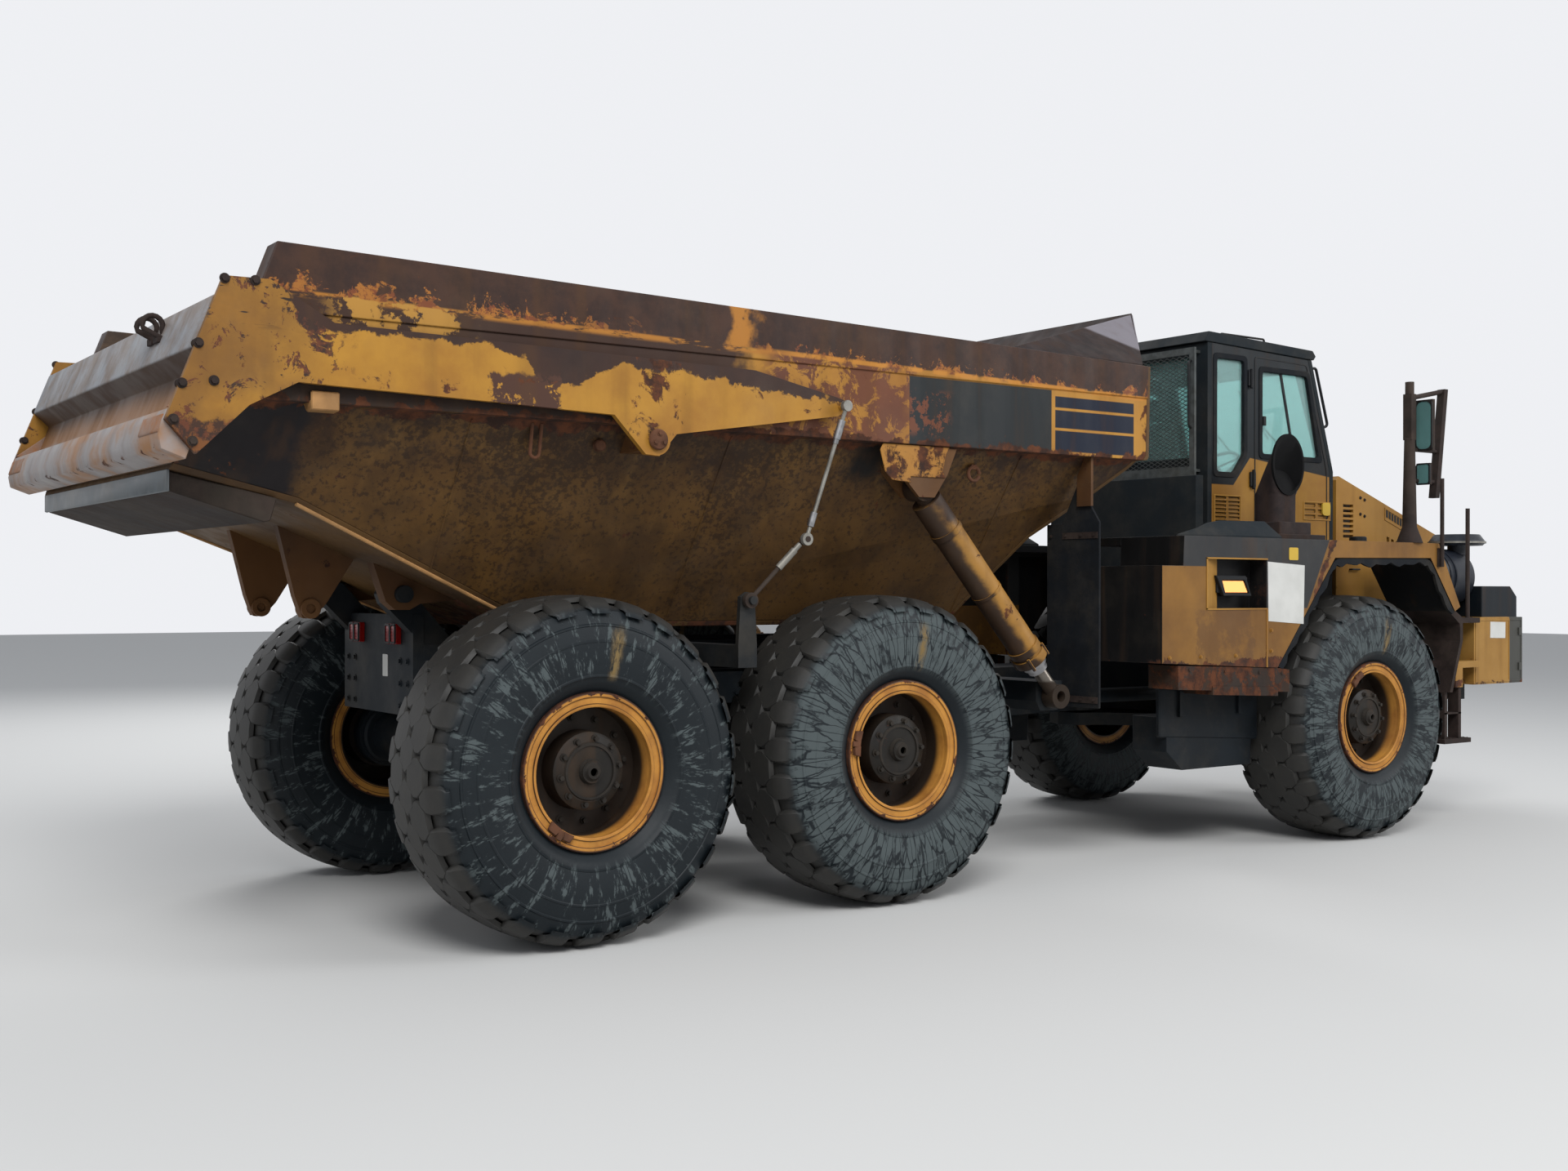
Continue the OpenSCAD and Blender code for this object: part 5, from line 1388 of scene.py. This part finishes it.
# clamps of the air cleaner, and the pale rim of its cap
for x in (7.631, 7.701):
    m.box((x - 0.011, x + 0.011), (-1.155, -1.115), (2.112, 2.150))
    m.tube([(x - 0.02, -1.135, 2.135), (x + 0.02, -1.135, 2.135)], 0.008, 8)
m.frame(circle(7.95, -1.20, 0.2175, 40), circle(7.95, -1.20, 0.2100, 40), "z", 2.157, 2.172)
m.done("cleaner_clamps", "worn_steel", FRONT, "bare_steel")

# glass and frames of a large and a small mirror on each side
LARGE_GLASS = soft_box((1.480, 1.602), (2.834, 3.186), 0.045)
m.prism(LARGE_GLASS, "x", 6.9855, 6.9905)
m.prism(soft_box((1.477, 1.578), (2.578, 2.722), 0.016), "x", 6.9955, 7.0005)
m.pair("mirror_glass", "mirror", FRONT, "glass")
m.frame(soft_box((1.470, 1.612), (2.822, 3.198), 0.030), LARGE_GLASS, "x", 6.980, 7.000)
inner = soft_box((1.479, 1.576), (2.580, 2.720), 0.016)
m.frame(soft_box((1.470, 1.586), (2.570, 2.730), 0.022), inner, "x", 6.991, 7.006)
m.pair("mirror_frames", "black", FRONT, "rubber")


# studs and a toe bar on the steps
def studs(x, y, top, r):
    """Rows of studs whose foot has radius r; x and y are a start, a step and a count."""
    profile = [(0.0001, top), (r - 0.002, top - 0.0005), (r, top - 0.005)]
    for i in range(x[2]):
        for j in range(y[2]):
            m.lathe(profile, (x[0] + x[1] * i, y[0] + y[1] * j, 0), "z", 8)


studs((7.412, 0.038, 9), (1.338, 0.033, 4), 0.6545, 0.007)
studs((7.622, 0.042, 6), (1.04, 0.045, 9), 1.5795, 0.008)
m.box((7.420, 7.640), (1.345, 1.435), (0.838, 0.850))
m.pair("step_studs", "rust_dark", FRONT, "rusty_steel")


# Hood and headlamps

HOOD_Y = 0.740  # side face of the hood
for x, z in ((7.350, 2.520), (7.405, 2.505), (7.350, 2.390), (7.405, 2.375)):
    for s in (-1, 1):
        m.bolt((x, s * HOOD_Y, z), "y", 0.009, s * 0.010)
m.done("hood_bolts", "rust_dark", "bonnet", "rusty_steel")
for k in range(9):
    x, z = 7.690 + 0.037 * k, 2.432 - 0.0127 * k
    for s in (-1, 1):
        slot = [(x, z), (x + 0.024, z - 0.009), (x + 0.024, z - 0.064), (x, z - 0.055)]
        m.prism(slot, "y", s * (HOOD_Y - 0.0015), s * (HOOD_Y + 0.0025))
m.done("hood_vents", "black", "bonnet", "rubber")
for s in (-1, 1):
    m.frame([(7.672, 2.452), (7.672, 2.352), (8.034, 2.230), (8.034, 2.330)],
            [(7.682, 2.440), (7.682, 2.362), (8.024, 2.246), (8.024, 2.322)], "y", s * 0.7395, s * 0.7445)
    m.box((7.05, 8.30), (s * 0.7395, s * 0.7435), (1.800, 1.812))
m.done("hood_trim", "yellow", "bonnet", "cab_yellow")
for s in (-1, 1):
    grip = [(7.215, 0.735), (7.215, 0.765), (7.315, 0.765), (7.315, 0.735)]
    m.tube(rounded([(x, s * y, 1.95) for x, y in grip], 0.012), 0.007, 8)
m.done("hood_handles", "black", "bonnet", "rubber")

# headlamps
HEADLAMPS = ((0, 0.815, 1.365), (0, 0.925, 1.365))
for centre in HEADLAMPS:
    m.lathe([(0.0001, 8.424), (0.030, 8.422), (0.046, 8.416), (0.046, 8.411)], centre, "x", 28)
m.pair("head_lenses", "lamp_clear", FRONT, "lamp_clear")
for centre in HEADLAMPS:
    m.lathe([(0.046, 8.411), (0.046, 8.420), (0.052, 8.421), (0.054, 8.411)], centre, "x", 28, caps=False)
m.pair("head_rims", "steel", FRONT, "chrome")


# Exhaust: a duct that turns outward and ends in an oval mouth

STACK_X, STACK_Y, STACK_DEEP = 5.880, -1.172, 0.215  # middle, near face and depth of the duct
ELBOW_Z = 2.475


def stack_ring(near, far, half, power):
    """Rounded ring in the plane through a near and a far point (y, z)."""
    ring = []
    for c, w in circle(0, 0, 1, 48):
        c = math.copysign(abs(c) ** (2 / power), c)
        k = 0.5 + 0.5 * math.copysign(abs(w) ** (2 / power), w)
        ring.append((STACK_X + half * c, near[0] + (far[0] - near[0]) * k, near[1] + (far[1] - near[1]) * k))
    return ring


def elbow_ring(u):
    """Ring of the elbow, from level at u = 0 to the upright mouth at u = 1."""
    far = (STACK_Y + STACK_DEEP * (1 - u), ELBOW_Z + 0.430 * u)
    return stack_ring((STACK_Y, ELBOW_Z), far, 0.136 + 0.036 * u, 4.0 - 2.0 * u)


def shrunk(ring, size, dy=0.0):
    """A ring drawn in toward its middle, and moved by dy."""
    mid = [sum(p[i] for p in ring) / len(ring) for i in range(3)]
    return [tuple(c + size * (q - c) + d for c, q, d in zip(mid, p, (0.0, dy, 0.0))) for p in ring]


FOOT = ((2.255, 0.132), (ELBOW_Z, 0.136))  # height and half width of the duct below its elbow
rings = [stack_ring((STACK_Y, z), (STACK_Y + STACK_DEEP, z), half, 4.0) for z, half in FOOT]
rings += [elbow_ring(k / 8) for k in range(1, 9)]
rings += [shrunk(elbow_ring(u), size) for u, size in ((1.0, 0.95), (0.75, 0.90), (0.42, 0.88))]
m.skin(rings)
stack = m.done("exhaust_stack", "guard", FRONT, "rusty_steel", sharp=0.9)
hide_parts("exhaust")
# soot lining: place along the elbow, size and shift outward of each ring
LINING = ((1.0, 1.03, 0.006), (1.0, 1.03, -0.012), (1.0, 0.93, -0.012), (0.75, 0.87, 0.0), (0.46, 0.85, 0.0),
          (0.46, 0.001, 0.0))
m.skin([shrunk(elbow_ring(u), size, dy) for u, size, dy in LINING], caps=False)
m.done("exhaust_mouth", "soot", FRONT, "rusty_steel")


# Engine: valve covers with their bolts and ports, manifold, pipes and fan

for k in range(6):
    x = 7.26 + 0.155 * k
    m.prism(soft_box((x - 0.062, x + 0.062), (-0.13, 0.13), 0.02), "z", 2.039, 2.105)
    m.bolt((x, 0.0, 2.105), "z", 0.012, 0.016)
    m.tube(rounded([(x, -0.13, 2.07), (x, -0.21, 2.075), (x, -0.25, 2.035)], 0.03), 0.026, 12)
m.prism(soft_box((7.16, 8.12), (0.18, 0.27), 0.03), "z", 2.038, 2.090)
m.done("engine_covers", "engine", FRONT, "engine_grey", bevel=0.004)
m.tube([(7.20, -0.250, 2.050), (8.10, -0.250, 2.050)], 0.040, 16)
m.tube(rounded([(8.08, -0.25, 2.06), (8.17, -0.25, 2.06), (8.17, -0.25, 1.99)], 0.05), 0.045, 16)
pipe = [(7.20, 0.10, 2.13), (7.70, 0.16, 2.14), (8.05, 0.16, 2.10), (8.05, 0.16, 2.03)]
m.tube(rounded(pipe, 0.06), 0.016, 10)
m.done("engine_pipes", "rust", FRONT, "engine_grey")

# fan: hub and eight twisted blades
BLADE = ((0.055, 0.03, 0.010), (0.15, 0.05, 0.008), (0.26, 0.06, 0.006))  # radius, half width and half twist
m.lathe([(0.0001, 8.272), (0.05, 8.272), (0.06, 8.262), (0.06, 8.240)], (0, 0, 1.74), "x", 24)
for y, z in circle(0, 0, 1, 8):
    out, along, ahead = Vector((0, y, z)), Vector((0, -z, y)), Vector((1, 0, 0))
    rows = []
    for r, wide, twist in BLADE:
        near, far = (Vector((8.258, 0, 1.74)) + out * r + along * w for w in (wide, -wide))
        rows.append([near + ahead * twist, far - ahead * twist, far - ahead * (twist + 0.003),
                     near + ahead * (twist - 0.003)])
    m.skin(rows)
m.done("fan", "black", FRONT, "engine_grey")


# Floor, light and camera

bm = bmesh.new()
bmesh.ops.create_grid(bm, x_segments=4, y_segments=4, size=60)
me = bpy.data.meshes.new("floor")
bm.to_mesh(me)
bm.free()
floor = bpy.data.objects.new("floor", me)
scene.collection.objects.link(floor)
Paint("floor", 0.9).set("Base Color", (0.62, 0.62, 0.61, 1))
me.materials.append(M["floor"])

scene.world = bpy.data.worlds.new("world")
scene.world.use_nodes = True
sky = Nodes(scene.world.node_tree)
path = sky.add("ShaderNodeLightPath").outputs
seen = sky.most(path["Is Camera Ray"], sky.most(path["Is Glossy Ray"], path["Is Transmission Ray"]))
background = scene.world.node_tree.nodes["Background"].inputs
sky.link(sky.mix(seen, (0.70, 0.73, 0.78, 1.0), (0.86, 0.87, 0.90, 1.0)), background["Color"])
sky.link(sky.plus(sky.times(seen, 0.4), 0.6), background["Strength"])


def area(name, loc, target, power):
    """A round soft lamp that looks at a point."""
    lamp = bpy.data.lights.new(name, "AREA")
    lamp.shape = "DISK"
    lamp.size = 9
    lamp.energy = power
    obj = bpy.data.objects.new(name, lamp)
    scene.collection.objects.link(obj)
    obj.location = loc
    obj.rotation_euler = (Vector(target) - Vector(loc)).to_track_quat("-Z", "Y").to_euler()


area("key", (-9, -14, 14), (0, 0, 1.5), 2700)
area("fill", (10, -12, 9), (2, 0, 1.5), 1000)
area("back", (2, 14, 12), (0, 0, 1.5), 1250)

# the camera's place and angles were solved from the photograph
lens = bpy.data.cameras.new("camera")
lens.sensor_fit = "HORIZONTAL"
lens.sensor_width = 36.0
lens.lens = 37.56
lens.clip_end = 400
camera = bpy.data.objects.new("camera", lens)
scene.collection.objects.link(camera)
camera.location = P(-3.910, -8.689, 1.773)
camera.rotation_euler = (math.radians(90.177), math.radians(-0.126), math.radians(54.621 - 90))
scene.camera = camera
scene.view_settings.view_transform = "Standard"
